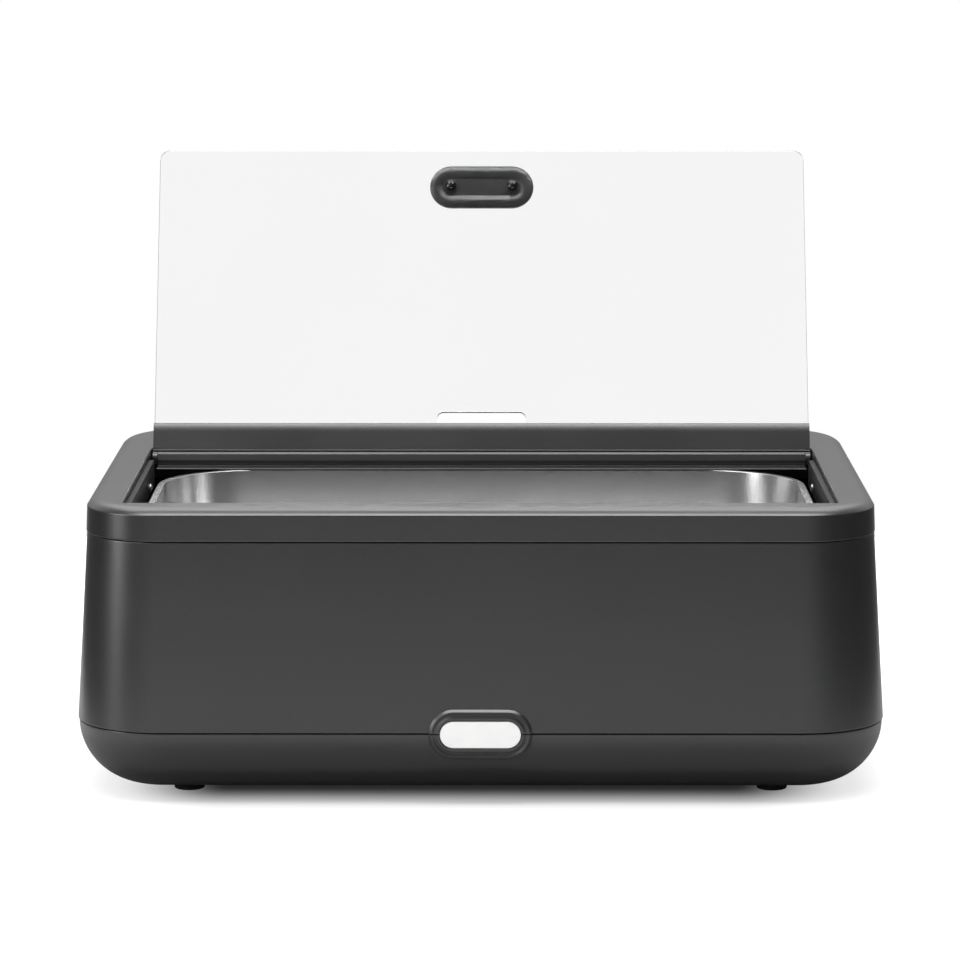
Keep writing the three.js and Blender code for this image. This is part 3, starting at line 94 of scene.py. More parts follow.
class BodySizes(PropertyGroup):
    """Tray, shell and rim: rectangles with round corners about the same corner centres."""

    middle_y: length("Middle, back", 0.001, "How far behind the origin the body's middle lies")
    corner_x: length("Corner centre, sideways", 0.248, "From the middle out to the corners' centres")
    corner_y: length("Corner centre, back", 0.161, "From the middle to the corners' centres, front to back")
    wall: length("Wall", 0.003, "Thickness of the moulded walls")
    gap: length("Gap", 0.0003, "Clearance between neighbouring pieces")
    seam: length("Seam", 0.0008, "Height of the dark lines between tray, shell and rim")
    edge: length("Edge rounding", 0.0006, "Radius of the shells' edges beside the seams")
    foot_height: length("Foot height", 0.0056, "From the table to the tray")
    tray_height: length("Tray height", 0.051, "From the tray's underside to the lower seam")
    shell_height: length("Shell height", 0.1496, "From the lower to the upper seam")
    rim_height: length("Rim height", 0.0258, "From the upper seam to the rim's top")
    tray_step: length("Tray step", 0.0008, "How far the tray's edge stands inside the shell's")
    tray_run: length("Tray curve", 0.0525, "How far the tray curves in on its way down")
    tongue_height: length("Tongue height", 0.006, "Height of the tongues that locate the shells")
    tongue_wall: length("Tongue wall", 0.002, "Thickness of those tongues")
    tongue_edge: length("Tongue edge", 0.0004, "Rounding of the tray's tongue, and half as much at its foot")
    shell_foot_radius: length("Shell radius, low", 0.0694, "Corner radius at the shell's lower edge")
    shell_top_radius: length("Shell radius, high", 0.0604, "Corner radius at the shell's upper edge")
    rim_band_radius: length("Rim radius, low", 0.0609, "Corner radius at the rim's lower edge")
    rim_crease_radius: length("Rim radius, high", 0.0601, "Corner radius where the rim's crown starts")
    crown_radius: length("Crown radius", 0.016, "Radius of the rim's crowned edge")
    crown_angle: angle("Crown angle", 50, "How far the crown turns")
    rim_side_width: length("Rim width, sides", 0.0302, "From the crown's start in to the opening's sides")
    rim_front_width: length("Rim width, front", 0.0291, "From the crown's start in to its front")
    opening_corner: length("Opening corner", 0.003, "Corner radius of the rim's opening")
    opening_edge: length("Opening edge", 0.0013, "Rounding of the rim's inner edge")
    deck_y: length("Deck edge", 0.09715, "From the middle back to the rear deck's front edge")
    skirt_height: length("Skirt height", 0.026, "Height of the rim's inner skirt")
    skirt_step: length("Skirt step", 0.004, "From the rim's top down to where the skirt is straight")
    skirt_edge: length("Skirt edge", 0.0005, "Rounding of the skirt's lower edge")
    rim_flat: length("Rim flat", 0.0015, "How far the rim's flat top runs on past its roundings")
    rim_root: length("Rim root", 0.001, "How far the rim's underside runs on in the same way")
    band_root: length("Band root", 0.002, "From the seam down to where the band's line comes from")
    tongue_step: length("Tongue step", 0.0005, "From the seam down to the tongue's last row of points")
    badge_length: length("Surround length", 0.0807, "Length of the surround on the front")
    badge_width: length("Surround width", 0.0396, "Height of the surround on the front")
    badge_proud: length("Surround proud", 0.002, "How far the surround stands out of the shell's lower edge")
    badge_edge: length("Surround edge", 0.0023, "Depth of the surround's outer slope")
    badge_slope: length("Surround slope", 0.0024, "Width of the surround's outer slope")
    groove: length("Surround groove", 0.0022, "Width of each side of the shallow groove inside that slope")
    groove_depth: length("Surround groove depth", 0.0012, "Depth of that groove")
    badge_rounds: row("Surround roundings", (0.0008, 0.0010, 0.0012, 0.0008, 0.0005),
                      "Roundings of the surround's section, from the slope's foot in to the pocket", "LENGTH")
    ledge: length("Pocket ledge", 0.002, "Width of the ledge that the plate lies on")
    plate_length: length("Plate length", 0.0636, "Length of the bare white plate")
    plate_width: length("Plate width", 0.0219, "Height of the bare white plate")
    plate_gap: length("Plate gap", 0.0005, "Dark gap seen round the plate")
    plate_set_back: length("Plate set back", 0.0003, "How far the plate lies behind the surround's face")
    plate_wall: length("Plate thickness", 0.001, "Thickness of the plate")
    plate_edge: length("Plate edge", 0.0004, "Rounding of the plate's edge")
    plate_core: length("Plate core", 0.002, "Radius of the plate's middle, inside its drawn section")
    pocket: length("Pocket", 0.0016, "Depth of the pocket behind the plate")
    root: length("Surround root", 0.008, "How deep the surround runs behind its face on the tray")
    tower_inset: length("Tower inset", 0.014, "From the corner centres out to the support frame's towers")
    tower: length("Tower radius", 0.007, "Radius of those towers")
    plate_drop: length("Frame plate drop", 0.046, "From the rim's top down to the support frame's underside")
    frame_wall: length("Frame plate", 0.003, "Thickness of the support frame's plate")
    boss: length("Boss radius", 0.006, "Radius of the bosses over the feet")
    boss_height: length("Boss height", 0.014, "Height of those bosses above the tray's floor")
    leg: length("Leg radius", 0.005, "Radius of the legs under the heat shield")
    leg_x: length("Leg, sideways", 0.190, "From the middle to those legs, along the length")
    leg_y: length("Leg, back", 0.070, "From the pan's middle to those legs, front to back")
    leg_top: length("Leg top", 0.1121, "From the table to the legs' tops")
    pilot: length("Pilot radius", 0.0018, "Radius of the screw holes in towers and bosses")
    post_edge: length("Post edge", 0.0004, "Chamfer of the towers, bosses and legs")


class PanSizes(PropertyGroup):
    """Food pan, water bath and the strips that the closed lid lies on."""

    corner_x: length("Pan corner centre, sideways", 0.184, "From the pan's middle to its corners' centres")
    corner_y: length("Pan corner centre, back", 0.04675, "From the pan's middle to its corners' centres")
    middle_y: FloatProperty(
        name="Pan middle", description="From the body's middle back to the pan's", default=-0.05775,
        unit="LENGTH")
    mouth: length("Mouth radius", 0.0755, "Corner radius of the pan's mouth")
    flange: length("Flange", 0.0055, "Width of the pan's flange")
    sheet: length("Sheet", 0.001, "Thickness of the pressed steel")
    shoulder: length("Shoulder", 0.0006, "Radius between wall and flange")
    drop: length("Drop", 0.0143, "From the rim's top down to the flange")
    depth: length("Depth", 0.065, "Depth of the pan")
    floor_round: length("Floor rounding", 0.034, "Radius between wall and floor")
    draft: length("Draft", 0.0025, "How far the wall leans in over its height")
    bath_gap: length("Bath gap", 0.001, "Clearance between pan and bath walls")
    bath_flange: length("Bath flange", 0.0045, "Width of the bath's flange")
    bath_depth: length("Bath depth", 0.078, "Depth of the water bath")
    rest_reach: length("Rest reach", 0.0049, "How far the lid rests stand in from the skirt")
    rest_wall: length("Rest wall", 0.003, "Thickness of the lid rests")
    rest_bead: length("Rest bead", 0.001, "Rounding of the lid rests' inner edge")
    rest_corner: length("Rest corner", 0.0004, "Rounding of the rests' inner corner and foot")
    rest_edge: length("Rest edge", 0.0003, "Rounding of the rests' other edges")
    rest_gap: length("Rest gap", 0.0007, "Clearance between the rests' ends and the hinge bar")
    rest_screw_drop: length("Rest screw drop", 0.015, "From a rest's top down to its screws")


class LidSizes(PropertyGroup):
    """Lid, hinge and handle, as they lie when the lid is closed."""

    open_angle: angle("Open angle", 113.4, "How far the lid stands open")
    half_width: length("Half width", 0.2764, "From the middle to the lid's side edges")
    front_y: length("Front edge", 0.1905, "From the body's middle forward to the lid's free edge")
    rear_y: length("Rear edge", 0.0782, "From the body's middle back to the lid's hinged edge")
    thickness: length("Thickness", 0.004, "Thickness of the clear sheet")
    corner: length("Corner", 0.010, "Radius of the lid's free corners")
    notch_width: length("Notch width", 0.075, "Width of the notch at the hinged edge")
    notch_reach: length("Notch reach", 0.0115, "How far the notch shows past the hinge bar")
    notch_corner: length("Notch corner", 0.0055, "Corner radius of the notch")
    sheet_edge: length("Sheet edge", 0.00035, "Chamfer of the polished edges")
    bar_length: length("Bar length", 0.0235, "Width of the hinge bar along the lid")
    bar_depth: length("Bar depth", 0.0075, "Thickness of the hinge bar")
    bar_round: length("Bar rounding", 0.0010, "Radius of the bar's inner edge")
    bar_turn: angle("Bar turn", 74, "How far that edge turns before the belly")
    bar_sweep: length("Bar belly", 0.0070, "Width of the slow curve below the bar's inner edge")
    bead: length("Bead", 0.00065, "Radius of the bead along the bar's rear edge")
    bead_forward: length("Bead, forward", 0.00593, "From the hinge axis forward to the bead's middle")
    bead_drop: length("Bead drop", 0.00442, "From the hinge axis down to the bead's middle")
    bead_angles: row("Bead angles", (130, 345), "Where the bead starts and ends, in degrees from the back")
    heel_angle: angle("Heel angle", 34, "How far the bar's heel wraps round the hinge axis")
    arm_width: length("Arm width", 0.004, "Thickness of the arms at the bar's ends")
    hub: length("Hub radius", 0.0066, "Radius of the arms' hubs round the hinge pins")
    setback: length("Hinge setback", 0.0069, "From the lid's rear edge back to the hinge axis")
    hinge_drop: length("Hinge drop", 0.0077, "From the rim's top down to the hinge axis")
    lip_reach: length("Lip reach", 0.0150, "How far the hinge base's lip stands forward")
    lip_drop: length("Lip drop", 0.0051, "From the hinge axis down to the lip's top")
    lip_wall: length("Lip wall", 0.0012, "Thickness of the lip")
    base_drop: length("Base drop", 0.0113, "From the hinge axis down to the base's underside")
    base_floor: length("Base floor", 0.003, "Thickness of the base's floor")
    base_tail: length("Base tail", 0.011, "How far the base runs back under the deck")
    nose_angles: row("Nose angles", (107, 108, 110, 134, 137, 184),
                     "Where the nose's arcs stop and start between flats, in degrees from the back")
    nose_tail: angle("Nose tail", 3, "How far the nose runs on past the bar's heel")
    pin: length("Pin radius", 0.002, "Radius of the hinge pins")
    pin_seat: length("Pin seat", 0.012, "How deep the pins sit in the hinge base")
    pin_edge: length("Pin edge", 0.0004, "Rounding of the pins' ends")
    handle_length: length("Handle length", 0.0887, "Length of the handle's foot")
    handle_width: length("Handle width", 0.0374, "Width of the handle's foot")
    handle_height: length("Handle height", 0.022, "How far the handle stands off the lid")
    handle_foot: length("Handle foot", 0.004, "Thickness of the handle's foot")
    handle_head: length("Handle head", 0.005, "Thickness of the handle's head")
    handle_waist: length("Handle waist", 0.0085, "How far the handle's waist draws in")
    head_inset: length("Head inset", 0.0062, "How far the handle's head stands inside its foot")
    handle_sweep: length("Handle sweep", 0.004, "Height over which the handle swells from its waist")
    handle_edge: length("Handle edge", 0.0015, "Rounding of the handle's edges")
    handle_crown: length("Handle crown", 0.0010, "How far the foot's ring falls away at its edges")
    handle_inset: length("Handle inset", 0.0325, "From the lid's free edge to the handle's middle")
    screw_spacing: length("Screw spacing", 0.0528, "Between the handle's screws")
    recess_width: length("Recess width", 0.015, "Width of the recess in the handle's foot")
    recess_depth: length("Recess depth", 0.0015, "Depth of the recess in the handle's foot")
    washer: length("Washer radius", 0.005, "Radius of the washers under the handle's screws")
    washer_wall: length("Washer thickness", 0.001, "Thickness of those washers")
    washer_edge: length("Washer edge", 0.0002, "Rounding of those washers")


class FittingSizes(PropertyGroup):
    """Feet, screws and the controls at the back."""

    foot_x: length("Foot, sideways", 0.230, "From the middle to the feet, along the length")
    foot_y: length("Foot, back", 0.1665, "From the middle to the feet, front to back")
    foot_radius: length("Foot radius", 0.012, "Radius of the feet")
    foot_recess: length("Foot recess", 0.005, "Radius of the recess for a foot's screw")
    foot_recess_depth: length("Foot recess depth", 0.0032, "Depth of that recess")
    foot_rounds: row("Foot roundings", (0.0005, 0.0012, 0.0006, 0.0001, 0.0001, 0.0003),
                     "Roundings of a foot's section, from the recess's mouth out and round", "LENGTH")
    screw: length("Screw radius", 0.0015, "Radius of the screws' shanks")
    screw_head: length("Screw head radius", 0.0035, "Radius of the screws' heads")
    screw_head_height: length("Screw head height", 0.0022, "Height of the screws' heads")
    screw_head_edge: length("Screw head edge", 0.0004, "From the heads' domed face out to their side")
    screw_edge: length("Screw edge", 0.0001, "Rounding of the screws' other edges")
    screw_tip: length("Screw tip", 0.001, "Height of the point that a shank's rounded end aims at")
    cross_width: length("Cross width", 0.00042, "Half the width of a cross recess's bars")
    cross_reach: length("Cross reach", 0.0018, "Half the length of those bars")
    cross_slope: length("Cross slope", 0.00022, "Width of the slope at the recess's edge")
    cross_depth: length("Cross depth", 0.0011, "Depth of the recess")
    rest_shank: length("Rest screw length", 0.011, "Length of the lid rests' screws")
    handle_shank: length("Handle screw length", 0.012, "Length of the handle's screws")
    base_shank: length("Base screw length", 0.016, "Length of the screws of the feet and the support frame")
    panel_y: length("Panel, back", 0.2114, "From the body's middle back to the control panel's face")
    panel_z: length("Panel, up", 0.1212, "From the table up to the control panel's middle")
    panel_length: length("Panel length", 0.190, "Length of the recess for the controls")
    panel_height: length("Panel height", 0.058, "Height of the recess for the controls")
    knob_x: length("Knob, sideways", 0.062, "From the middle to the thermostat's knob")
    knob_radius: length("Knob radius", 0.018, "Radius of the knob's skirt")
    knob_height: length("Knob height", 0.013, "How far the knob stands off the panel")
    knob_edge: length("Knob edge", 0.0003, "Chamfer of the knob's edges, and twice as much on its grip")
    knob_skirt: length("Knob skirt", 0.0015, "Height and slope of the skirt's edge")
    knob_step: length("Knob step", 0.005, "From the skirt's edge in to the ribbed grip")
    knob_seat: length("Knob seat", 0.0032, "Height at which the grip leaves the skirt")
    knob_lean: length("Knob lean", 0.001, "How far the grip leans in over its height")
    knob_rib: length("Knob ribs", 0.00035, "Depth of the grip's ribs")
    knob_bar: length("Knob bar", 0.0035, "Half the width of the bar across the knob")
    mark_half: length("Mark width", 0.0005, "Half the width of the line on the knob")
    mark_length: length("Mark length", 0.010, "Length of that line")
    mark_inset: length("Mark inset", 0.0028, "From the skirt's edge in to that line")
    mark_height: length("Mark height", 0.00012, "How far that line stands proud")
    scale_inner: length("Scale, inside", 0.0192, "From the knob's middle out to the scale's lines")
    scale_outer: length("Scale, outside", 0.0215, "From the knob's middle out to those lines' ends")
    scale_half: length("Scale line", 0.0004, "Half the width of those lines")
    print_height: length("Print height", 0.00008, "How far those lines stand proud")
    print_root: length("Print root", 0.0002, "How deep the printed lines reach below the surface")
    rocker_x: length("Rocker, sideways", 0.010, "From the middle to the rocker switch")
    rocker_side: length("Rocker side", 0.0082, "Half the rocker's width")
    rocker_half: length("Rocker half", 0.0124, "Half the rocker's height")
    rocker_face: length("Rocker face", 0.0065, "From the rocker's axis out to the ends of its face")
    rocker_dish: length("Rocker dish", 0.0015, "How far the face is hollowed at its middle")
    rocker_back: length("Rocker back", 0.005, "From the rocker's axis in to its back")
    rocker_axis: length("Rocker axis", 0.001, "From the panel's face out to the rocker's axis")
    rocker_tilt: angle("Rocker tilt", 7, "How far the rocker is tipped at rest")
    lens_x: length("Lens, sideways", 0.024, "From the middle to the indicator lens")
    lens_radius: length("Lens radius", 0.005, "Radius of the indicator lens")
    lens_stem: length("Lens stem", 0.0035, "Radius of the lens's stem")
    lens_tail: length("Lens tail", 0.014, "Length of that stem")
    lens_rim: length("Lens rim", 0.0015, "Height of the lens's side")
    lens_dome: length("Lens dome", 0.003, "Height of the lens's middle")
    lens_round: length("Lens rounding", 0.0012, "Rounding of the dome's edge")
    lens_edge: length("Lens edge", 0.0002, "Rounding of the lens's foot")


class Finishes(PropertyGroup):
    """Colours of the materials."""

    black: colour("Black", (0.0118, 0.0119, 0.0121), "Moulded matt black plastic")
    gloss_black: colour("Gloss black", (0.012, 0.012, 0.013), "Smooth black plastic of the controls")
    white: colour("White", (0.915, 0.915, 0.91), "White plate on the front")
    clear: colour("Clear", (0.972, 0.973, 0.973), "Clear sheet of the lid")
    rubber: colour("Rubber", (0.014, 0.014, 0.014), "Feet")
    steel: colour("Steel", (0.56, 0.56, 0.56), "Pressed stainless steel")
    zinc: colour("Zinc", (0.56, 0.56, 0.54), "Zinc-plated screws and brackets")
    dark_steel: colour("Blackened steel", (0.07, 0.07, 0.07), "Screws and washers of the handle")
    aluminium: colour("Aluminium", (0.72, 0.73, 0.74), "Heat spreader")
    amber: colour("Amber", (0.75, 0.26, 0.04), "Indicator lens")
    marking: colour("Marking", (0.75, 0.75, 0.74), "Scale round the knob")
    floor: colour("Floor", (0.74, 0.74, 0.74), "Table")


class StageSettings(PropertyGroup):
    """Camera, lamps and surroundings."""

    focal: amount("Focal length", 155.6, "Lens of the camera, in millimetres")
    sensor: amount("Sensor", 36.0, "Width of the camera's sensor, in millimetres")
    reach: length("Camera reach", 50.0, "How far the camera sees")
    camera_x: length("Camera, sideways", 0.0088, "From the middle to the camera")
    camera_y: length("Camera, front", 3.368, "From the origin forward to the camera")
    camera_z: length("Camera, up", 0.7523, "From the table up to the camera")
    pitch: angle("Camera pitch", 8.986, "How far the camera looks down")
    yaw: angle("Camera yaw", 0.166, "How far the camera looks left")
    key_power: amount("Key lamp", 24.0, "Power of the soft lamp at the front left, in watts")
    key_place: row("Key lamp's place", (-2.0, -1.9, 1.9), "Where it stands", "LENGTH")
    key_aim: row("Key lamp's aim", (0, 0, 0.15), "The point that it looks at", "LENGTH")
    key_size: row("Key lamp's size", (2.2, 1.8), "Its width and height", "LENGTH")
    top_power: amount("Top lamp", 52.0, "Power of the long soft lamp overhead, in watts")
    top_place: row("Top lamp's place", (0, -0.68, 2.3), "Where it hangs", "LENGTH")
    top_aim: row("Top lamp's aim", (0, -0.15, 0.2), "The point that it looks at", "LENGTH")
    top_size: row("Top lamp's size", (2.6, 0.6), "Its width and height", "LENGTH")
    side_power: amount("Side lamp", 16.0, "Power of the low soft lamp at the left, in watts")
    side_place: row("Side lamp's place", (-2.05, -0.92, 0.62), "Where it stands", "LENGTH")
    side_aim: row("Side lamp's aim", (0, -0.1, 0.15), "The point that it looks at", "LENGTH")
    side_size: row("Side lamp's size", (0.6, 1.0), "Its width and height", "LENGTH")
    edge_power: amount("Edge lamp", 15.0, "Power of the narrow lamp behind the middle, in watts")
    edge_place: row("Edge lamp's place", (0, 0.85, 2.3), "Where it hangs", "LENGTH")
    edge_aim: row("Edge lamp's aim", (0, -0.1, 0.2), "The point that it looks at", "LENGTH")
    edge_size: row("Edge lamp's size", (2.6, 0.35), "Its width and height", "LENGTH")
    back_power: amount("Back lamp", 21.0, "Power of the soft lamp above and behind, in watts")
    back_place: row("Back lamp's place", (0, 1.2, 2.05), "Where it hangs", "LENGTH")
    back_aim: row("Back lamp's aim", (0, -0.1, 0.2), "The point that it looks at", "LENGTH")
    back_size: row("Back lamp's size", (2.6, 1.8), "Its width and height", "LENGTH")
    sky: amount("Surroundings", 0.4, "Strength of the even light from all round")
    dim: amount("Front surroundings", 0.15, "Strength that gloss picks up from the front")
    dim_range: row("Front to back", (0.1, 0.75), "Where the front's strength starts to rise, and is full")
    low: amount("Low surroundings", 0.45, "Share of that strength near the horizon")
    low_range: row("Horizon to sky", (0.1, 0.5), "Where that share starts to rise, and is full")
    aside: amount("Side surroundings", 0.12, "Share of that strength at the sides")
    aside_range: row("Middle to sides", (0.2, 0.7), "Where the sides start to darken, and are darkest")
    above_range: row("Below to above", (-0.05, 0.2), "Where the sides' darkening starts, and is whole")
    table_x: length("Table, sideways", 0.62, "From the middle to the table's side edges")
    table_front: length("Table, front", 1.8, "From the origin forward to the table's edge")
    table_back: length("Table, back", 1.0, "From the origin back to the table's edge")
    table_drop: length("Table drop", 0.0001, "How far the table lies below the feet")
    # The table's colour is darkened to this share close to the dish: painted shadow.
    under: amount("Table under the dish", 0.3, "Share of the table's colour close to the dish")
    painted_shadow_end: length("Darker table's end", 0.40, "From the shaded stretch out to the table's whole colour")
    shade_inset: length("Shade inset", 0.050, "From the corner centres in to the ends of the shaded stretch")
    shade_start: length("Glow's start", 0.004, "From the shaded stretch out to where the glow starts")
    shade_end: length("Glow's end", 0.098, "From the shaded stretch out to where the table's glow is full")
    # The table's glow is faint close to the dish and full away from it, so the shadow's edge is painted by
    # it.
    faint: amount("Table glow, near", 0.02, "Light that the table adds close to the dish")
    glow: amount("Table glow, far", 0.75, "Light that the table adds away from the dish")


# Shapes: grids of points worked out as whole arrays

REACH_SHARE = 0.45
SIDE_SHARES = (0.012, 0.988)
MERGE = 1e-6


def arc(u, v, radius, start, end, steps):
    """Points (u + radius cos a, v + radius sin a) with the angle a running evenly from start to end, in
    degrees."""
    a = np.radians(np.linspace(start, end, steps + 1))
    return np.column_stack((u + radius * np.cos(a), v + radius * np.sin(a)))


def rounded(points, radius, steps):
    """A closed outline whose corners are eased: between the tangent points A and B at each corner C runs
    the curve (1-s)^2 A + 2s(1-s) C + s^2 B."""
    corner = np.asarray(points, float)
    before, after = np.roll(corner, 1, 0) - corner, np.roll(corner, -1, 0) - corner
    length_before = np.linalg.norm(before, axis=1, keepdims=True)
    length_after = np.linalg.norm(after, axis=1, keepdims=True)
    before, after = before / length_before, after / length_after
    half = 0.5 * np.arccos(np.clip((before * after).sum(1), -1, 1))[:, None]
    reach = np.broadcast_to(np.asarray(radius, float).reshape(-1, 1), half.shape) / np.tan(half)
    reach = np.minimum(reach, REACH_SHARE * np.minimum(length_before, length_after))
    s = np.linspace(0, 1, steps + 1)[None, :, None]
    a, b, c = (corner + reach * before)[:, None], (corner + reach * after)[:, None], corner[:, None]
    return ((1 - s) ** 2 * a + 2 * s * (1 - s) * c + s ** 2 * b).reshape(-1, 2)


def supported(profile, near, closed=False):
    """The same line with a point close to both ends of each long straight, so that smooth shading stays
    flat there."""
    line = np.asarray(profile, float)
    if closed:
        line = np.concatenate((line, line[:1]))
    start, run = line[:-1], np.diff(line, axis=0)
    size = np.linalg.norm(run, axis=1, keepdims=True)
    step = run / np.maximum(size, 1e-12) * near
    points = np.stack((start, start + step, start + run - step), 1)
    keep = np.column_stack((size[:, 0] > 1e-9, size[:, 0] > 5 * near, size[:, 0] > 5 * near))
    points = points[keep]
    return points if closed else np.concatenate((points, line[-1:]))


def corner_ring(corner_x, corner_y, steps, marks=((), (), (), ())):
    """Centres C(i) and outward directions N(i) round a rectangle with round corners: a wall of corner
    radius r lies at C + r N. The four marks give shares along the rear, left, front and right sides that
    get a column too."""
    corners = np.array([(1, 1), (-1, 1), (-1, -1), (1, -1)]) * (corner_x, corner_y)
    centres, directions = [], []
    for turn, corner in enumerate(corners):
        bend = arc(0, 0, 1, 90 * turn, 90 * turn + 90, steps)
        side = np.array(sorted({*SIDE_SHARES, *marks[turn]}))[:, None]
        centres += [np.repeat(corner[None], steps + 1, 0), corner + side * (corners[(turn + 1) % 4] - corner)]
        directions += [bend, np.repeat(bend[-1:], len(side), 0)]
    return np.concatenate(centres), np.concatenate(directions)


def carried(ring, profile):
    """Surface P(j, i) = (C(i) + r(j) N(i), z(j)): a profile of corner radius and height carried round a
    ring."""
    centre, direction = ring
    radius, height = np.asarray(profile, float).T
    plan = centre[None] + radius[:, None, None] * direction[None]
    return np.dstack((plan, np.broadcast_to(height[:, None], plan.shape[:2])))


def turned(profile, columns, ribs=0, rib_depth=None):
    """Surface P(j, i) = (r cos a, r sin a, z) with r = r(j) + d(j) cos(n a): a profile turned round the Z
    axis, with n ribs of depth d where they are asked for."""
    radius, height = np.asarray(profile, float).T
    a = np.linspace(0, 2 * np.pi, columns, endpoint=False)[None]
    depth = np.zeros_like(radius) if rib_depth is None else np.asarray(rib_depth, float)
    r = radius[:, None] + depth[:, None] * np.cos(ribs * a)
    return np.dstack((r * np.cos(a), r * np.sin(a), np.broadcast_to(height[:, None], r.shape)))


def drawn(section, start, end, axis="X"):
    """Surface P(j, i) = section(i) moved evenly from start to end along an axis. A section for X holds
    (y, z), one for Y holds (x, z) and one for Z holds (x, y)."""
    section = np.asarray(section, float)
    place = np.array([start, end])[:, None]
    u, v = (np.broadcast_to(column, (2, len(section))) for column in section.T)
    w = np.broadcast_to(place, u.shape)
    return np.dstack({"X": (w, u, v), "Y": (u, w, v), "Z": (u, v, w)}[axis])


def grid(points, wrap_rows=False, wrap_columns=True, caps=False):
    """Vertices, quads and end faces of a surface given as a grid of points."""
    rows, columns = points.shape[:2]
    index = np.arange(rows * columns).reshape(rows, columns)
    ends = [index[0], index[-1]] if caps else []
    if wrap_columns:
        index = np.concatenate((index, index[:, :1]), 1)
    if wrap_rows:
        index = np.concatenate((index, index[:1]), 0)
    quads = np.stack((index[:-1, :-1], index[:-1, 1:], index[1:, 1:], index[1:, :-1]), -1)
    return points.reshape(-1, 3), quads.reshape(-1, 4), ends


def moved(part, offset=(0, 0, 0), matrix=None):
    """The part turned by a matrix, then moved: P' = M P + offset."""
    points, quads, ends = part
    if matrix is not None:
        points = points @ np.array(matrix.to_3x3(), float).T
    return points + np.asarray(offset, float), quads, ends


def box(half, low, high):
    """Corners of an upright rectangle about the middle line."""
    return [(-half, low), (half, low), (half, high), (-half, high)]


def spun(section, turn):
    """Points of a section turned about the origin: u' = u cos a - v sin a, v' = u sin a + v cos a."""
    u, v = section.T
    return np.column_stack((u * math.cos(turn) - v * math.sin(turn), u * math.sin(turn) + v * math.cos(turn)))


def opened(parts, lid, top):
    """Parts of the closed lid turned open about the hinge axis, with lengths measured from the axis:
    y' = y cos a + z sin a, z' = z cos a - y sin a."""
    axis = np.array((0.0, *hinge_axis(lid, top)))
    cos, sin = math.cos(lid.open_angle), math.sin(lid.open_angle)
    result = []
    for points, quads, ends in parts:
        x, y, z = (points - axis).T
        result.append((np.column_stack((x, y * cos + z * sin, z * cos - y * sin)) + axis, quads, ends))
    return result


def eased_edges(piece, width, limit):
    """Rounds the edges that are sharper than a limit, in degrees."""
    ease = piece.modifiers.new("Eased edges", "BEVEL")
    ease.width, ease.segments, ease.limit_method, ease.angle_limit = width, 2, "ANGLE", math.radians(limit)
    return ease


def new_piece(name, parts, material, body="body", replaces=(), bevel=0.0, sharp=40):
    """One object at the origin made of closed surfaces, riding on a CAD body. Edges sharper than the
    angle sharp, in degrees, stay sharp, or are rounded where a bevel is asked for."""
    offsets = np.cumsum([0] + [len(points) for points, _, _ in parts])
    vertices = np.concatenate([points for points, _, _ in parts])
    vertices[:, 1] += bpy.context.scene.dish_body.middle_y
    faces = []
    for offset, (_, quads, ends) in zip(offsets, parts):
        faces += (quads + offset).tolist() + [(end + offset).tolist() for end in ends]
    mesh = bpy.data.meshes.new(name)
    mesh.from_pydata(vertices.tolist(), [], faces)
    shape = bmesh.new()
    shape.from_mesh(mesh)
    bmesh.ops.remove_doubles(shape, verts=shape.verts, dist=MERGE)
    bmesh.ops.recalc_face_normals(shape, faces=shape.faces)
    shape.to_mesh(mesh)
    shape.free()
    mesh.polygons.foreach_set("use_smooth", np.ones(len(mesh.polygons), bool))
    mesh.set_sharp_from_angle(angle=math.radians(sharp))
    mesh.materials.append(material)
    piece = bpy.data.objects.new(name, mesh)
    bpy.context.scene.collection.objects.link(piece)
    if bevel > 0:
        eased_edges(piece, bevel, sharp).harden_normals = True
    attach(piece, body)
    if replaces:
        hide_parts(*replaces)


def dress(node, material, bevel=0.0003, sharp=40):
    """A CAD node gets its finish, and edges that catch the light."""
    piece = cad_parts[node]
    if piece.material_slots:
        piece.material_slots[0].material = material
    else:
        piece.data.materials.append(material)
    if bevel > 0:
        weld = piece.modifiers.new("Joined corners", "WELD")
        weld.merge_threshold = MERGE
        eased_edges(piece, bevel, sharp)


# Finishes


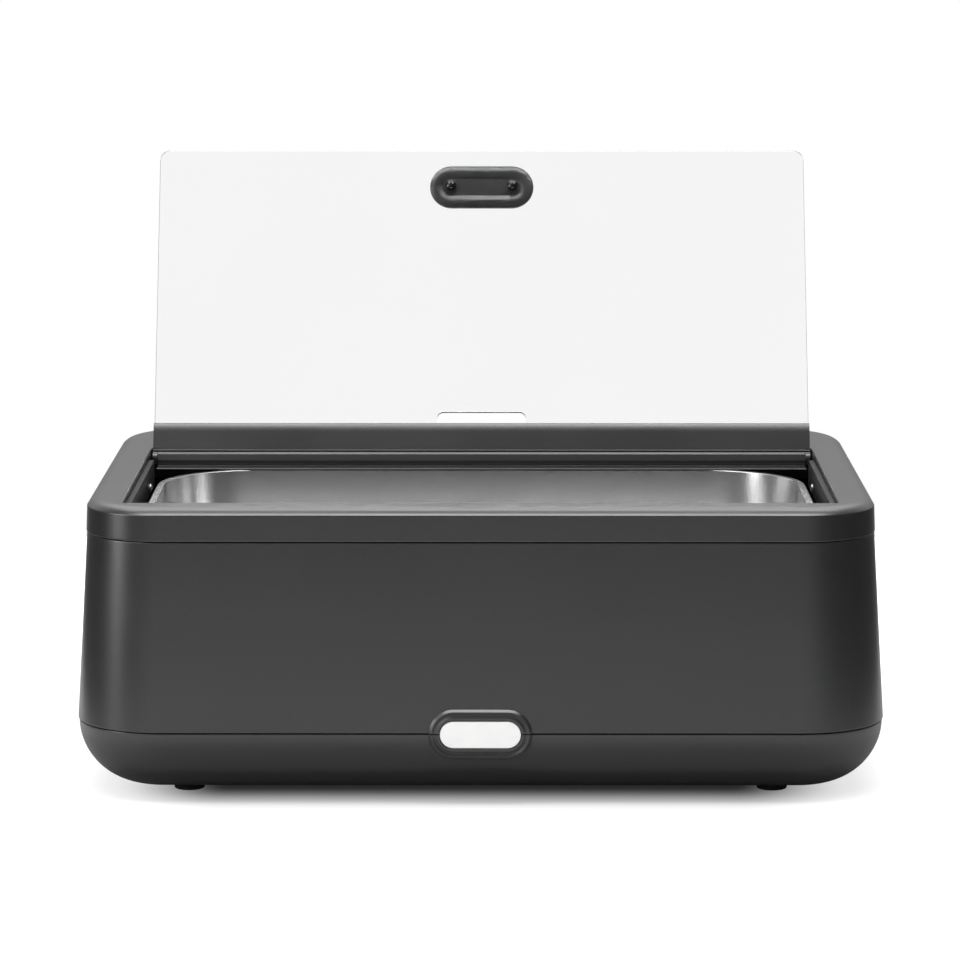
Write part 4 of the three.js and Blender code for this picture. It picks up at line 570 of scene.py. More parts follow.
class Tree:
    """Short ways to fill the node tree of a material or of the world."""

    def __init__(self, owner):
        owner.use_nodes = True
        self.nodes, self.links = owner.node_tree.nodes, owner.node_tree.links

    def feed(self, target, value):
        """Links an output to the target socket, or sets the socket's own value."""
        if isinstance(value, bpy.types.NodeSocket):
            self.links.new(value, target)
        else:
            target.default_value = value

    def add(self, kind, output, inputs=None, **settings):
        """One output of a new node, whose inputs get the given outputs or values."""
        node = self.nodes.new("ShaderNode" + kind)
        for name, value in settings.items():
            setattr(node, name, value)
        for key, value in (inputs or {}).items():
            self.feed(node.inputs[key], value)
        return node.outputs[output]

    def noise(self, scale, detail, stretch=(1, 1, 1)):
        """A noise over the piece's own coordinates."""
        place = self.add("Mapping", "Vector", {"Vector": self.add("TexCoord", "Object"), "Scale": stretch})
        return self.add("TexNoise", "Fac", {"Vector": place, "Scale": scale, "Detail": detail})

    def fitted(self, source, given, wanted, way="LINEAR"):
        """A value carried from one range to another."""
        limits = dict(zip(("From Min", "From Max", "To Min", "To Max"), (*given, *wanted)))
        return self.add("MapRange", "Result", {"Value": source, **limits}, interpolation_type=way)

    def tinted(self, source, shade, change):
        """Colour that wanders between a little darker and a little lighter with a pattern."""
        ramp = self.nodes.new("ShaderNodeValToRGB")
        for element, position, factor in zip(ramp.color_ramp.elements, TINT_RANGE, (1 - change, 1 + change)):
            element.position = position
            element.color = (*[min(1, c * factor) for c in shade], 1)
        self.feed(ramp.inputs["Fac"], source)
        return ramp.outputs["Color"]

    def product(self, first, second):
        """The product of two values."""
        return self.add("Math", "Value", {0: first, 1: second}, operation="MULTIPLY")

    def bounced(self, *kinds):
        """1 for light paths that have already met a surface in one of the given ways, else 0."""
        total = 0.0
        for kind in kinds:
            depth = self.add("LightPath", f"{kind} Depth")
            total = self.add("Math", "Value", {0: total, 1: depth}, operation="ADD")
        return self.add("Math", "Value", {0: total, 1: 0.5}, operation="GREATER_THAN")

    def past_outline(self, body, inset):
        """How far a point lies outside the rectangle of the corner centres: |max(|p| - c, 0)|."""
        centre = (body.corner_x - inset, body.corner_y, 1)
        point = self.add("VectorMath", "Vector", {0: self.add("TexCoord", "Object")}, operation="ABSOLUTE")
        point = self.add("VectorMath", "Vector", {0: point, 1: centre}, operation="SUBTRACT")
        point = self.add("VectorMath", "Vector", {0: point, 1: (0, 0, 0)}, operation="MAXIMUM")
        return self.add("VectorMath", "Value", {0: point}, operation="LENGTH")


NOISE_RANGE = (0.3, 0.7)
TINT_RANGE = (0.35, 0.65)


def finish(name, slot, colour_name, roughness, tint, cloud=None, relief=None, metallic=0.0, stretch=(1, 1, 1),
           **sockets):
    """A material, made once and then found by its name. tint gives a noise's scale and detail and how far
    the colour wanders with it, cloud a noise's scale and detail and the lowest and highest roughness, and
    relief a noise's scale and detail and the strength and depth of the bumps."""
    made = bpy.data.materials.get(name)
    if made:
        return made
    shade = tuple(getattr(bpy.context.scene.dish_finishes, colour_name))
    made = bpy.data.materials.new(name)
    made["slot"], made.diffuse_color = slot, (*shade, 1.0)
    tree = Tree(made)
    shader = tree.nodes["Principled BSDF"].inputs
    plain = {"Base Color": (*shade, 1.0), "Roughness": roughness, "Metallic": metallic}
    for socket, value in (plain | {key.replace("_", " "): value for key, value in sockets.items()}).items():
        shader[socket].default_value = value
    scale, detail, change = tint
    tree.feed(shader["Base Color"], tree.tinted(tree.noise(scale, detail, stretch), shade, change))
    if cloud:
        scale, detail, *limits = cloud
        tree.feed(shader["Roughness"], tree.fitted(tree.noise(scale, detail, stretch), NOISE_RANGE, limits))
    if relief:
        scale, detail, strength, depth = relief
        bump = {"Height": tree.noise(scale, detail), "Strength": strength, "Distance": depth}
        tree.feed(shader["Normal"], tree.add("Bump", "Normal", bump))
    return made


def moulded_black():
    """Matt black plastic with a fine spark-eroded grain and a slow wander in sheen."""
    return finish("Moulded black", "black_plastic", "black", 0.33, tint=(650, 1, 0.14),
                  cloud=(9, 2, 0.31, 0.36), relief=(1500, 3, 0.07, 0.0001), Specular_IOR_Level=0.86)


def shade_dulled_black():
    """Rougher black plastic of the lid rests, with its gloss turned down so that it reads darker than the
    body's: painted shade, for the rests lie in the shade of the rim.
    """
    return finish("Coarse black", "black_plastic", "black", 0.5, tint=(700, 3, 0.14),
                  cloud=(700, 3, 0.54, 0.64), Specular_IOR_Level=0.3)


def smooth_black():
    """Smooth black plastic of the controls, with a faint moulding haze."""
    return finish("Smooth black", "gloss_black_plastic", "gloss_black", 0.24, tint=(60, 3, 0.10),
                  cloud=(60, 3, 0.20, 0.29))


def plate_white():
    """Satin white plastic."""
    return finish("Plate white", "white_plastic", "white", 0.35, tint=(90, 3, 0.015),
                  cloud=(90, 3, 0.31, 0.39))


def clear_acrylic():
    """Clear acrylic, polished, with a trace of unevenness in its tone."""
    return finish("Clear acrylic", "clear_plastic", "clear", 0.0, tint=(7, 2, 0.004), Transmission_Weight=1.0,
                  IOR=1.49)


def foot_rubber():
    """Dull rubber with a fine bloom."""
    return finish("Foot rubber", "rubber", "rubber", 0.85, tint=(420, 4, 0.25), relief=(420, 4, 0.25, 0.0001))


def pressed_steel():
    """Satin pressed stainless steel, a little cloudy."""
    return finish("Pressed steel", "stainless", "steel", 0.28, tint=(6, 1, 0.02), cloud=(6, 1, 0.22, 0.25),
                  metallic=1.0)


def zinc_plate():
    """Zinc-plated steel with a mottled bloom."""
    return finish("Zinc plate", "zinc_steel", "zinc", 0.34, tint=(260, 3, 0.10), cloud=(260, 3, 0.28, 0.42),
                  metallic=1.0)


def blackened_steel():
    """Steel with a black oxide finish, rubbed a little unevenly."""
    return finish("Blackened steel", "zinc_steel", "dark_steel", 0.22, tint=(500, 3, 0.2),
                  cloud=(500, 3, 0.14, 0.20), metallic=1.0)


def rolled_aluminium():
    """Rolled aluminium with lines along its length."""
    return finish("Rolled aluminium", "aluminium", "aluminium", 0.38, tint=(1, 3, 0.05),
                  cloud=(1, 3, 0.32, 0.45), metallic=1.0, stretch=(20, 700, 700))


def amber_lens():
    """Translucent amber plastic."""
    return finish("Amber lens", "amber_plastic", "amber", 0.12, tint=(300, 2, 0.12), Transmission_Weight=0.35)


def scale_print():
    """White printing ink of the scale round the knob."""
    return finish("Scale print", "white_plastic", "marking", 0.5, tint=(900, 3, 0.05))


# Heights and places that follow from the sizes


def levels(body):
    """Heights of the lower seam, the upper seam and the rim's top."""
    lower = body.foot_height + body.tray_height
    upper = lower + body.shell_height
    return lower, upper, upper + body.rim_height


def shell_radius(body, z):
    """The shell's corner radius at a height: r = r0 + (r1 - r0) (z - z0) / h."""
    share = (z - body.foot_height - body.tray_height) / body.shell_height
    return body.shell_foot_radius + (body.shell_top_radius - body.shell_foot_radius) * share


def opening(body):
    """Half length, front and rear edge of the rim's opening."""
    half = body.corner_x + body.rim_crease_radius - body.rim_side_width
    return half, body.rim_front_width - body.corner_y - body.rim_crease_radius, body.deck_y


def surround_face(body):
    """Where the face of the front surround lies."""
    return -(body.corner_y + body.shell_foot_radius + body.badge_proud)


def hinge_axis(lid, top):
    """Where the hinge axis lies, back and up."""
    return lid.rear_y + lid.setback, top - lid.hinge_drop


def rests_end(pan, lid):
    """Where the side rests end in front of the hinge bar."""
    return lid.rear_y - lid.bar_length - pan.rest_gap


def surround(body, root_y, upper):
    """Upper or lower half of the front surround: its section of offset and depth carried over half a stadium
    x = s + r cos a, z = r sin a, with flat ends at the seam."""
    half, radius = (body.badge_length - body.badge_width) / 2, body.badge_width / 2
    front = surround_face(body)
    pocket = body.plate_width / 2 + body.gap
    floor = front + body.pocket
    groove, dip, crest = body.groove, body.groove_depth, radius - body.badge_slope
    outline = rounded(
        [(radius, root_y), (radius, front + body.badge_edge), (crest, front), (crest - groove, front + dip),
         (crest - 2 * groove, front), (pocket, front), (pocket, floor), (pocket - body.ledge, floor),
         (pocket - body.ledge, root_y)],
        (0, *body.badge_rounds, 0, 0, 0), 6)
    points = carried(stadium_ring(half, 0, 180), supported(outline, near=0.0003, closed=True))
    x, rise, depth = points[..., 0], points[..., 1], points[..., 2]
    lower, _, _ = levels(body)
    if upper:
        z = lower + np.maximum(rise, body.seam)
    else:
        z = lower - np.maximum(rise, 0)
    index = np.arange(x.size).reshape(x.shape)
    vertices, quads, _ = grid(np.dstack((x, depth, z)), wrap_rows=True, wrap_columns=False)
    return vertices, quads, [index[:, 0], index[:, -1]]


def post(x, y, radius, low, high, hole, hole_depth, edge):
    """A screw post of the tray: a turned tube with a blind hole in its top."""
    outline = [(0, low), (radius, low), (radius, high - edge), (radius - edge, high), (hole, high),
               (hole, high - hole_depth), (0, high - hole_depth)]
    return moved(grid(turned(outline, 32)), (x, y, 0))


def tray_parts(body, fit, pan):
    """Tray: quarter ellipses r = f + a cos t, z = s + b sin t outside and inside, a tongue, screw posts
    and the lower half of the surround."""
    lower, _, top = levels(body)
    edge = body.shell_foot_radius - body.tray_step
    flat = edge - body.tray_run
    unit = arc(0, 0, 1, -90, 0, 30)
    outside = (flat, lower) + unit * (body.tray_run, body.tray_height)
    inside = (flat, lower) + unit[::-1] * (body.tray_run - body.wall, body.tray_height - body.wall)
    outer = shell_radius(body, lower + body.tongue_height) - body.wall - body.gap
    inner = outer - body.tongue_wall
    high = lower + body.tongue_height
    lip = rounded(
        [outside[-2], (edge, lower), (outer, lower), (outer, high), (inner, high), (inner, lower), inside[1]],
        (0, body.edge, body.tongue_edge / 2, body.tongue_edge, body.tongue_edge, 0, 0), 4)[5:-5]
    profile = supported(np.concatenate((outside[:-1], lip, inside[1:])), near=0.0006)
    ring = corner_ring(body.corner_x, body.corner_y, 20)
    parts = [grid(carried(ring, profile), caps=True),
             surround(body, surround_face(body) + body.root, upper=False)]
    floor = body.foot_height + body.wall
    root = floor - body.wall / 3
    tower_top, hole = top - body.plate_drop - body.gap, body.pilot
    for sx in (-1, 1):
        for sy in (-1, 1):
            tower = sx * (body.corner_x + body.tower_inset), sy * (body.corner_y + body.tower_inset)
            boss = sx * fit.foot_x, sy * fit.foot_y
            leg = sx * body.leg_x, pan.middle_y + sy * body.leg_y
            parts += [
                post(*tower, body.tower, root, tower_top, hole, 2 * body.boss, body.post_edge),
                post(*boss, body.boss, root, floor + body.boss_height, hole, body.boss, body.post_edge),
                post(*leg, body.leg, root, body.leg_top, hole / 2, body.boss, body.post_edge)]
    return parts


def shell_parts(body, fit):
    """Shell: a leaning wall r = r(z) carried round the corners, with a window at the back for the
    controls and the upper half of the surround."""
    lower, upper, _ = levels(body)
    low, high, wall = lower + body.seam, upper - body.seam, body.wall
    window_low, window_high = (fit.panel_z + s * (fit.panel_height / 2 + body.gap) for s in (-1, 1))

    def radius(z):
        return shell_radius(body, z)

    eased = rounded(
        [(radius(low), low), (radius(high), high), (radius(high) - wall, high), (radius(low) - wall, low)],
        body.edge, 4).reshape(4, -1, 2)
    outer_rows = [(radius(window_low), window_low), (radius(window_high), window_high)]
    inner_rows = [(radius(z) - wall, z) for z in (window_high, window_low)]
    line = np.concatenate((eased[0], outer_rows, eased[1], eased[2], inner_rows, eased[3]))
    profile = supported(line, near=0.0006, closed=True)
    half = fit.panel_length / 2 + body.gap
    marks = [(body.corner_x - x) / (2 * body.corner_x) for x in (half, -half)]
    centre, direction = corner_ring(body.corner_x, body.corner_y, 20, (marks, (), (), ()))
    points = carried((centre, direction), profile)
    rear = direction[:, 1] > 0.9999
    first, last = (int(np.argmin(np.where(rear, np.abs(centre[:, 0] - x), np.inf))) for x in (half, -half))
    row = [int(np.argmin(np.linalg.norm(profile - p, axis=1))) for p in (*outer_rows, *inner_rows)]
    vertices, quads, _ = grid(points, wrap_rows=True)
    columns = points.shape[1]
    j, i = np.divmod(quads[:, 0], columns)
    across = (i >= first) & (i < last)
    hole = across & (((j >= row[0]) & (j < row[1])) | ((j >= row[2]) & (j < row[3])))
    index = np.arange(points.shape[0] * columns).reshape(-1, columns)
    sills = []
    for outer_row, inner_row in ((row[0], row[3]), (row[1], row[2])):
        outside, inside = index[outer_row, first:last + 1], index[inner_row, first:last + 1]
        sills.append(np.column_stack((outside[:-1], outside[1:], inside[1:], inside[:-1])))
    sides = [np.concatenate((index[row[0]:row[1] + 1, column], index[row[2]:row[3] + 1, column]))
             for column in (first, last)]
    root = surround_face(body) + body.badge_proud + wall - body.gap
    return [(vertices, np.concatenate((quads[~hole], *sills)), sides), surround(body, root, upper=True)]


def rim_parts(body):
    """Rim: its section runs round the body's corners outside and round the opening inside, as one closed
    surface."""
    _, upper, top = levels(body)
    turn = math.degrees(body.crown_angle)
    start = body.rim_crease_radius - body.crown_radius * math.sin(body.crown_angle)
    centre_z = top - body.crown_radius
    crease_z = centre_z + body.crown_radius * math.cos(body.crown_angle)
    outer = body.shell_top_radius - body.wall - body.gap
    inner = outer - body.tongue_wall
    meet = math.degrees(math.asin((inner - start) / (body.crown_radius - body.wall)))
    tongue_z, under_z = upper - body.tongue_height, top - body.wall
    under = arc(start, centre_z, body.crown_radius - body.wall, 90, 90 - meet, 8)
    band = rounded(
        [(outer, upper - body.band_root), (outer, upper), (body.rim_band_radius, upper),
         (body.rim_crease_radius, crease_z)],
        (0, 0, body.edge, 0), 4)[5:-5]
    crown = arc(start, centre_z, body.crown_radius, 90 - turn, 90, 20)
    outside = supported(np.concatenate((
        [(start - body.rim_root, under_z)], under,
        [(inner, tongue_z), (outer, tongue_z), (outer, upper - body.tongue_step)],
        band, crown, [(start - body.rim_flat, top)])), near=0.0006)
    half_x, front_y, rear_y = opening(body)
    corner, edge = body.opening_corner, body.opening_edge
    foot, step = top - body.skirt_height, top - body.skirt_step
    back = corner + body.wall
    skirt = rounded([(corner, step), (corner, foot), (back, foot), (back, step)],
                    (0, body.skirt_edge, body.skirt_edge, 0), 3)[3:-3]
    inside = supported(np.concatenate((
        [(corner + edge + body.rim_flat, top)], arc(corner + edge, top - edge, edge, 90, 180, 8), skirt,
        [(back, under_z), (back + body.rim_flat, under_z)])), near=0.0006)
    half_y, middle = (rear_y - front_y) / 2, (rear_y + front_y) / 2
    outer_part = carried(corner_ring(body.corner_x, body.corner_y, 20), outside)
    inner_part = carried(corner_ring(half_x - corner, half_y - corner, 20), inside) + (0, middle, 0)
    return [grid(np.concatenate((outer_part, inner_part)), wrap_rows=True)]


def pressed_pan(pan, mouth, flange, top, depth):
    """A pressed pan: leaning wall, round foot and flat floor carried round the pan's corners, with a
    flange whose edge is folded a little."""
    foot = mouth - pan.draft
    flat = foot - pan.floor_round
    bend_z = top - depth + pan.floor_round
    s = pan.sheet
    outside = arc(flat, bend_z, pan.floor_round + s, -90, 0, 24)
    inside = arc(flat, bend_z, pan.floor_round, 0, -90, 24)
    bend = pan.shoulder
    shoulder = arc(mouth + bend, top - bend, bend, 90, 180, 8)
    under = arc(mouth + bend + s, top - bend - s, bend, 180, 90, 6)
    edge = arc(mouth + flange - s / 2, top - s / 2, s / 2, -90, 90, 6)
    profile = supported(np.concatenate((outside, under, edge, shoulder, inside)), near=0.0006)
    ring = corner_ring(pan.corner_x, pan.corner_y, 28)
    return moved(grid(carried(ring, profile), caps=True), (0, pan.middle_y, 0))


def screw_part(fit, shank):
    """A pan-head screw with a cross recess: the head's face is z(r) = -h + h (r/R)^3 / 3, sunk by a depth
    where the point lies in one of the cross's two bars. The head lies below 0 and the shank points up."""
    radius, height = fit.screw_head, fit.screw_head_height
    rows = np.linspace(0, 1, 26)
    face = np.column_stack((rows * (radius - fit.screw_head_edge), -height + height * rows ** 3 / 3))
    rest = rounded(
        [face[-1], (radius, -height * HEAD_SIDE_SHARE), (radius, 0), (fit.screw, 0), (fit.screw, shank),
         (0, shank + fit.screw_tip)],
        fit.screw_edge, 2)
    points = turned(np.concatenate((face[:-1], rest[2:-2], [(0, shank)])), 56)
    x, y = np.abs(points[..., 0]), np.abs(points[..., 1])
    across = [np.clip((fit.cross_width - u) / fit.cross_slope + 1, 0, 1) for u in (x, y)]
    along = [np.clip((fit.cross_reach - u) / fit.cross_slope + 1, 0, 1) for u in (y, x)]
    on_face = (np.arange(len(points)) < len(face) - 1)[:, None]
    points[..., 2] += fit.cross_depth * np.maximum(across[0] * along[0], across[1] * along[1]) * on_face
    return grid(points)


def washer_part(radius, hole, low, high, edge):
    """A flat ring with eased edges."""
    outline = rounded([(hole, low), (radius, low), (radius, high), (hole, high)], edge, 3)
    return grid(turned(outline, 48), wrap_rows=True)


def stadium_ring(half, first=-90, last=270, steps=20):
    """Centres and directions round a stadium, or a part of one: arcs from the first angle to 90 degrees
    and from there to the last angle, about (+-s, 0)."""
    right, left = arc(0, 0, 1, first, 90, steps), arc(0, 0, 1, 90, last, steps)
    centre = np.repeat([(half, 0.0), (-half, 0.0)], steps + 1, 0)
    return centre, np.concatenate((right, left))


def lid_outline(lid, inset):
    """The lid's outline from above, every edge moved into the sheet by an inset: round free corners,
    square hinged corners and a notch with round inner corners."""
    half, front, rear = lid.half_width - inset, -lid.front_y + inset, lid.rear_y - inset
    notch = lid.notch_width / 2 + inset
    notch_y = lid.rear_y - lid.bar_length - lid.notch_reach - inset
    corner, turn = lid.corner - inset, lid.notch_corner + inset
    return np.concatenate((
        arc(-half + corner, front + corner, corner, 180, 270, 12),
        arc(half - corner, front + corner, corner, 270, 360, 12),
        [(half, rear), (notch, rear)],
        arc(notch - turn, notch_y + turn, turn, 0, -90, 10),
        arc(turn - notch, notch_y + turn, turn, -90, -180, 10),
        [(-notch, rear), (-half, rear)],
    ))


def lid_sheet_parts(lid, top):
    """Clear sheet: the outline at four heights, the outer two inset by the polished chamfer, with flat
    faces."""
    low = top - lid.thickness
    e = lid.sheet_edge
    layers = []
    for inset, z in ((e, low), (0, low + e), (0, top - e), (e, top)):
        outline = lid_outline(lid, inset)
        layers.append(np.column_stack((outline, np.full(len(outline), z))))
    return [grid(np.stack(layers), caps=True)]


def hinge_bar_parts(lid, top, gap):
    """Hinge bar: its section drawn along the lid, with a bead along its rear edge, a heel that follows
    the circle of the setback's radius about the hinge axis, and an arm and hub at each end."""
    high = top - lid.thickness - gap
    low = high - lid.bar_depth
    front = lid.rear_y - lid.bar_length
    axis_y, axis_z = hinge_axis(lid, top)
    turn = lid.bar_turn
    belly = lid.bar_sweep / math.cos(turn)
    belly_drop = belly * (1 - math.sin(turn))
    heel = 180 + math.degrees(lid.heel_angle)
    wrap = arc(axis_y, axis_z, lid.setback, heel, 180, 10)
    bar = np.concatenate((
        arc(front + lid.bar_round, low + belly_drop + lid.bar_round * math.sin(turn), lid.bar_round, 180,
            180 + math.degrees(turn), 10),
        arc(front + lid.bar_round * (1 - math.cos(turn)) + belly * math.cos(turn), low + belly, belly,
            180 + math.degrees(turn), 270, 12),
        arc(axis_y - lid.bead_forward, axis_z - lid.bead_drop, lid.bead, *lid.bead_angles, 14),
        wrap, [(lid.rear_y, high), (front, high)],
    ))
    arm_y = lid.rear_y - lid.bar_depth / 3
    arm = np.concatenate((
        arc(axis_y, axis_z, lid.hub, heel, 450, 30),
        [(lid.rear_y, high), (arm_y, high), (arm_y, low), (lid.rear_y, low)],
    ))
    section = supported(bar, near=0.0004, closed=True)
    parts = [grid(drawn(section, -lid.half_width, lid.half_width), caps=True)]
    for side in (-1, 1):
        ends = sorted((side * (lid.half_width - lid.arm_width), side * lid.half_width))
        parts.append(grid(drawn(arm, *ends), caps=True))
    return parts


def handle_parts(lid, top, gap):
    """Handle: a section of stadium radius and height that draws in to a waist. Its foot has a shallow
    recess and a crowned ring z = f + c ((r - m) / h)^2 round it."""
    foot = top + gap
    high = foot + lid.handle_height
    radius, edge = lid.handle_width / 2, lid.handle_edge
    waist, head = radius - lid.handle_waist, radius - lid.head_inset
    swell = foot + lid.handle_foot
    under = high - lid.handle_head
    recess, floor = lid.recess_width / 2, foot + lid.recess_depth
    across = np.linspace(recess, radius, 24)
    middle, half = (recess + radius) / 2, (radius - recess) / 2
    crown = np.column_stack((across, foot + lid.handle_crown * ((across - middle) / half) ** 2))
    outline = rounded(
        [crown[-2], crown[-1], (radius, swell), (waist, swell + lid.handle_sweep),
         (waist, under - lid.handle_sweep), (head, under), (head, high), (recess, high)],
        (0, edge / 2, edge, 2 * edge, 2 * edge, edge, 2 * edge, 0), 6)[7:-7]
    outline = np.concatenate(([(edge, floor), (recess, floor)], crown[:-1], outline, [(edge, high)]))
    ring = stadium_ring((lid.handle_length - lid.handle_width) / 2)
    part = grid(carried(ring, supported(outline, near=0.0004)), caps=True)
    return [moved(part, (0, -lid.front_y + lid.handle_inset, 0))]


def hinge_base_parts(body, lid, top, gap):
    """Hinge base: a nose about the hinge axis with a slope and a flat front, a lip in front of it and a
    floor behind, drawn along X."""
    axis_y, axis_z = hinge_axis(lid, top)
    nose = lid.setback - gap
    front = axis_y - nose
    lip_top = axis_z - lid.lip_drop
    lip_low = lip_top - lid.lip_wall
    low, tail = axis_z - lid.base_drop, body.deck_y + lid.base_tail
    floor = low + lid.base_floor
    r = lid.lip_wall / 2
    turn = lid.heel_angle + lid.nose_tail
    stops = (0, *lid.nose_angles, 180 + math.degrees(turn))
    stretches = zip(stops[::2], stops[1::2], (24, 2, 2, 12))
    root = axis_y - nose * math.cos(turn)
    section = np.concatenate((
        arc(front - lid.lip_reach + r, lip_low + r, r, 90, 270, 12),
        [(front, lip_low), (front, low), (tail, low), (tail, floor), (axis_y + nose, floor)],
        *[arc(axis_y, axis_z, nose, first, last, steps) for first, last, steps in stretches],
        arc(root - r / 2, lip_top + r / 2, r / 2, 0, -90, 5),
    ))
    half = lid.half_width - lid.arm_width - gap
    return [grid(drawn(supported(section, near=0.0004, closed=True), -half, half), caps=True)]


def rest_section(body, pan, top, lid, gap):
    """A lid rest's section: a short shelf against the skirt, a leg and a rounded inner edge."""
    high = top - lid.thickness - gap
    inner, under = pan.rest_reach - gap, high - pan.rest_wall
    leg, low = inner - pan.rest_wall, top - body.skirt_height
    return rounded(
        [(0, under), (leg, under), (leg, low), (inner, low), (inner, high), (0, high)],
        (0, pan.rest_corner, pan.rest_edge, pan.rest_corner, pan.rest_bead, pan.rest_edge), 5)


# Operators: one for each piece or group of like pieces, and one for the stage


class DISH_OT_base_tray(Operator):
    """Make the tray that curves under, with the lower half of the surround"""

    bl_idname = "dish.base_tray"
    bl_label = "Base tray"

    def execute(self, context):
        scene = context.scene
        parts = tray_parts(scene.dish_body, scene.dish_fittings, scene.dish_pan)
        new_piece("tray_moulding", parts, moulded_black(), replaces=["base_tray"])
        return {"FINISHED"}


class DISH_OT_body_shell(Operator):
    """Make the leaning middle shell, with its window at the back"""

    bl_idname = "dish.body_shell"
    bl_label = "Body shell"

    def execute(self, context):
        scene = context.scene
        parts = shell_parts(scene.dish_body, scene.dish_fittings)
        new_piece("shell_moulding", parts, moulded_black(), replaces=["body_shell"])
        return {"FINISHED"}


class DISH_OT_rim_frame(Operator):
    """Make the crowned rim with its rear deck and inner skirt"""

    bl_idname = "dish.rim_frame"
    bl_label = "Rim frame"

    def execute(self, context):
        scene = context.scene
        new_piece("rim_moulding", rim_parts(scene.dish_body), moulded_black(),
                  replaces=["rim_frame"])
        return {"FINISHED"}


class DISH_OT_badge(Operator):
    """Make the bare white plate in the front surround"""

    bl_idname = "dish.badge"
    bl_label = "Front plate"

    def execute(self, context):
        body = context.scene.dish_body
        half, radius = (body.plate_length - body.plate_width) / 2, body.plate_width / 2 - body.plate_gap
        front = surround_face(body) + body.plate_set_back
        back, edge, core = front + body.plate_wall, body.plate_edge, body.plate_core
        rim = arc(radius - edge, front + edge, edge, 0, -90, 5)
        section = [(core, back), (radius, back), *rim, (core, front)]
        points = carried(stadium_ring(half), supported(section, near=0.0003))
        lower, _, _ = levels(body)
        part = moved(grid(points[..., [0, 2, 1]], caps=True), (0, 0, lower))
        new_piece("front_plate", [part], plate_white(), replaces=["badge_plate"])
        return {"FINISHED"}


class DISH_OT_feet(Operator):
    """Make the four rubber feet with their screw recesses"""

    bl_idname = "dish.feet"
    bl_label = "Feet"

    def execute(self, context):
        body, fit = context.scene.dish_body, context.scene.dish_fittings
        top = body.foot_height - body.gap
        hole = fit.screw + body.gap
        outline = rounded(
            [(fit.foot_recess, 0), (fit.foot_radius, 0), (fit.foot_radius, top), (hole, top),
             (hole, fit.foot_recess_depth), (fit.foot_recess, fit.foot_recess_depth)],
            fit.foot_rounds, 5)
        foot = grid(turned(supported(outline, near=0.0002, closed=True), 64), wrap_rows=True)
        for side, sx in SIDES:
            for end, sy in ENDS:
                part = moved(foot, (sx * fit.foot_x, sy * fit.foot_y, 0))
                new_piece(f"rubber_foot_{end}_{side}", [part], foot_rubber(), replaces=[f"foot_{end}_{side}"])
        return {"FINISHED"}


class DISH_OT_lid_rests(Operator):
    """Make the strips inside the opening that the closed lid lies on"""

    bl_idname = "dish.lid_rests"
    bl_label = "Lid rests"

    def execute(self, context):
        scene = context.scene
        body, pan, lid = scene.dish_body, scene.dish_pan, scene.dish_lid
        _, _, top = levels(body)
        half, front, _ = opening(body)
        # The side and front rests use the duller black, which stands in for the rim's shade: painted shade.
        section = rest_section(body, pan, top, lid, body.gap)
        start = front + pan.rest_reach + body.gap
        for side, sx in SIDES:
            placed = np.column_stack((sx * (half - body.gap - section[:, 0]), section[:, 1]))
            part = grid(drawn(placed, start, rests_end(pan, lid), "Y"), caps=True)
            new_piece(f"rest_strip_{side}", [part], shade_dulled_black(), replaces=[f"lid_rest_{side}"],
                      bevel=0.0003)
        placed = section + (front + body.gap, 0)
        reach = half - body.opening_corner
        new_piece("rest_strip_front", [grid(drawn(placed, -reach, reach), caps=True)], shade_dulled_black(),
                  replaces=["lid_rest_front"], bevel=0.0003)
        return {"FINISHED"}


class DISH_OT_hinge(Operator):
    """Make the hinge base and its two pins"""

    bl_idname = "dish.hinge"
    bl_label = "Hinge base and pins"

    def execute(self, context):
        body, lid = context.scene.dish_body, context.scene.dish_lid
        _, _, top = levels(body)
        new_piece("hinge_base_moulding", hinge_base_parts(body, lid, top, body.gap), moulded_black(),
                  replaces=["hinge_base"], bevel=0.0002)
        outer, inner = lid.half_width - body.gap, lid.half_width - lid.arm_width - body.gap - lid.pin_seat
        ends = rounded([(0, inner), (lid.pin, inner), (lid.pin, outer), (0, outer)], lid.pin_edge, 4)[5:-5]
        pin = grid(turned([(0, inner), *ends, (0, outer)], 32))
        for side, sx in SIDES:
            part = moved(pin, (0, *hinge_axis(lid, top)), Matrix.Rotation(math.radians(90 * sx), 4, "Y"))
            new_piece(f"steel_pin_{side}", [part], zinc_plate(), replaces=[f"hinge_pin_{side}"])
        return {"FINISHED"}


class DISH_OT_lid(Operator):
    """Make the clear sheet and the bar that carries it, standing open"""

    bl_idname = "dish.lid"
    bl_label = "Lid sheet and hinge bar"

    def execute(self, context):
        body, lid = context.scene.dish_body, context.scene.dish_lid
        _, _, top = levels(body)
        sheet = opened(lid_sheet_parts(lid, top), lid, top)
        bar = opened(hinge_bar_parts(lid, top, body.gap), lid, top)
        new_piece("clear_sheet", sheet, clear_acrylic(), "lid", ["lid_sheet"], sharp=20)
        new_piece("hinge_bar_moulding", bar, moulded_black(), "lid", ["hinge_bar"], bevel=0.0004)
        return {"FINISHED"}


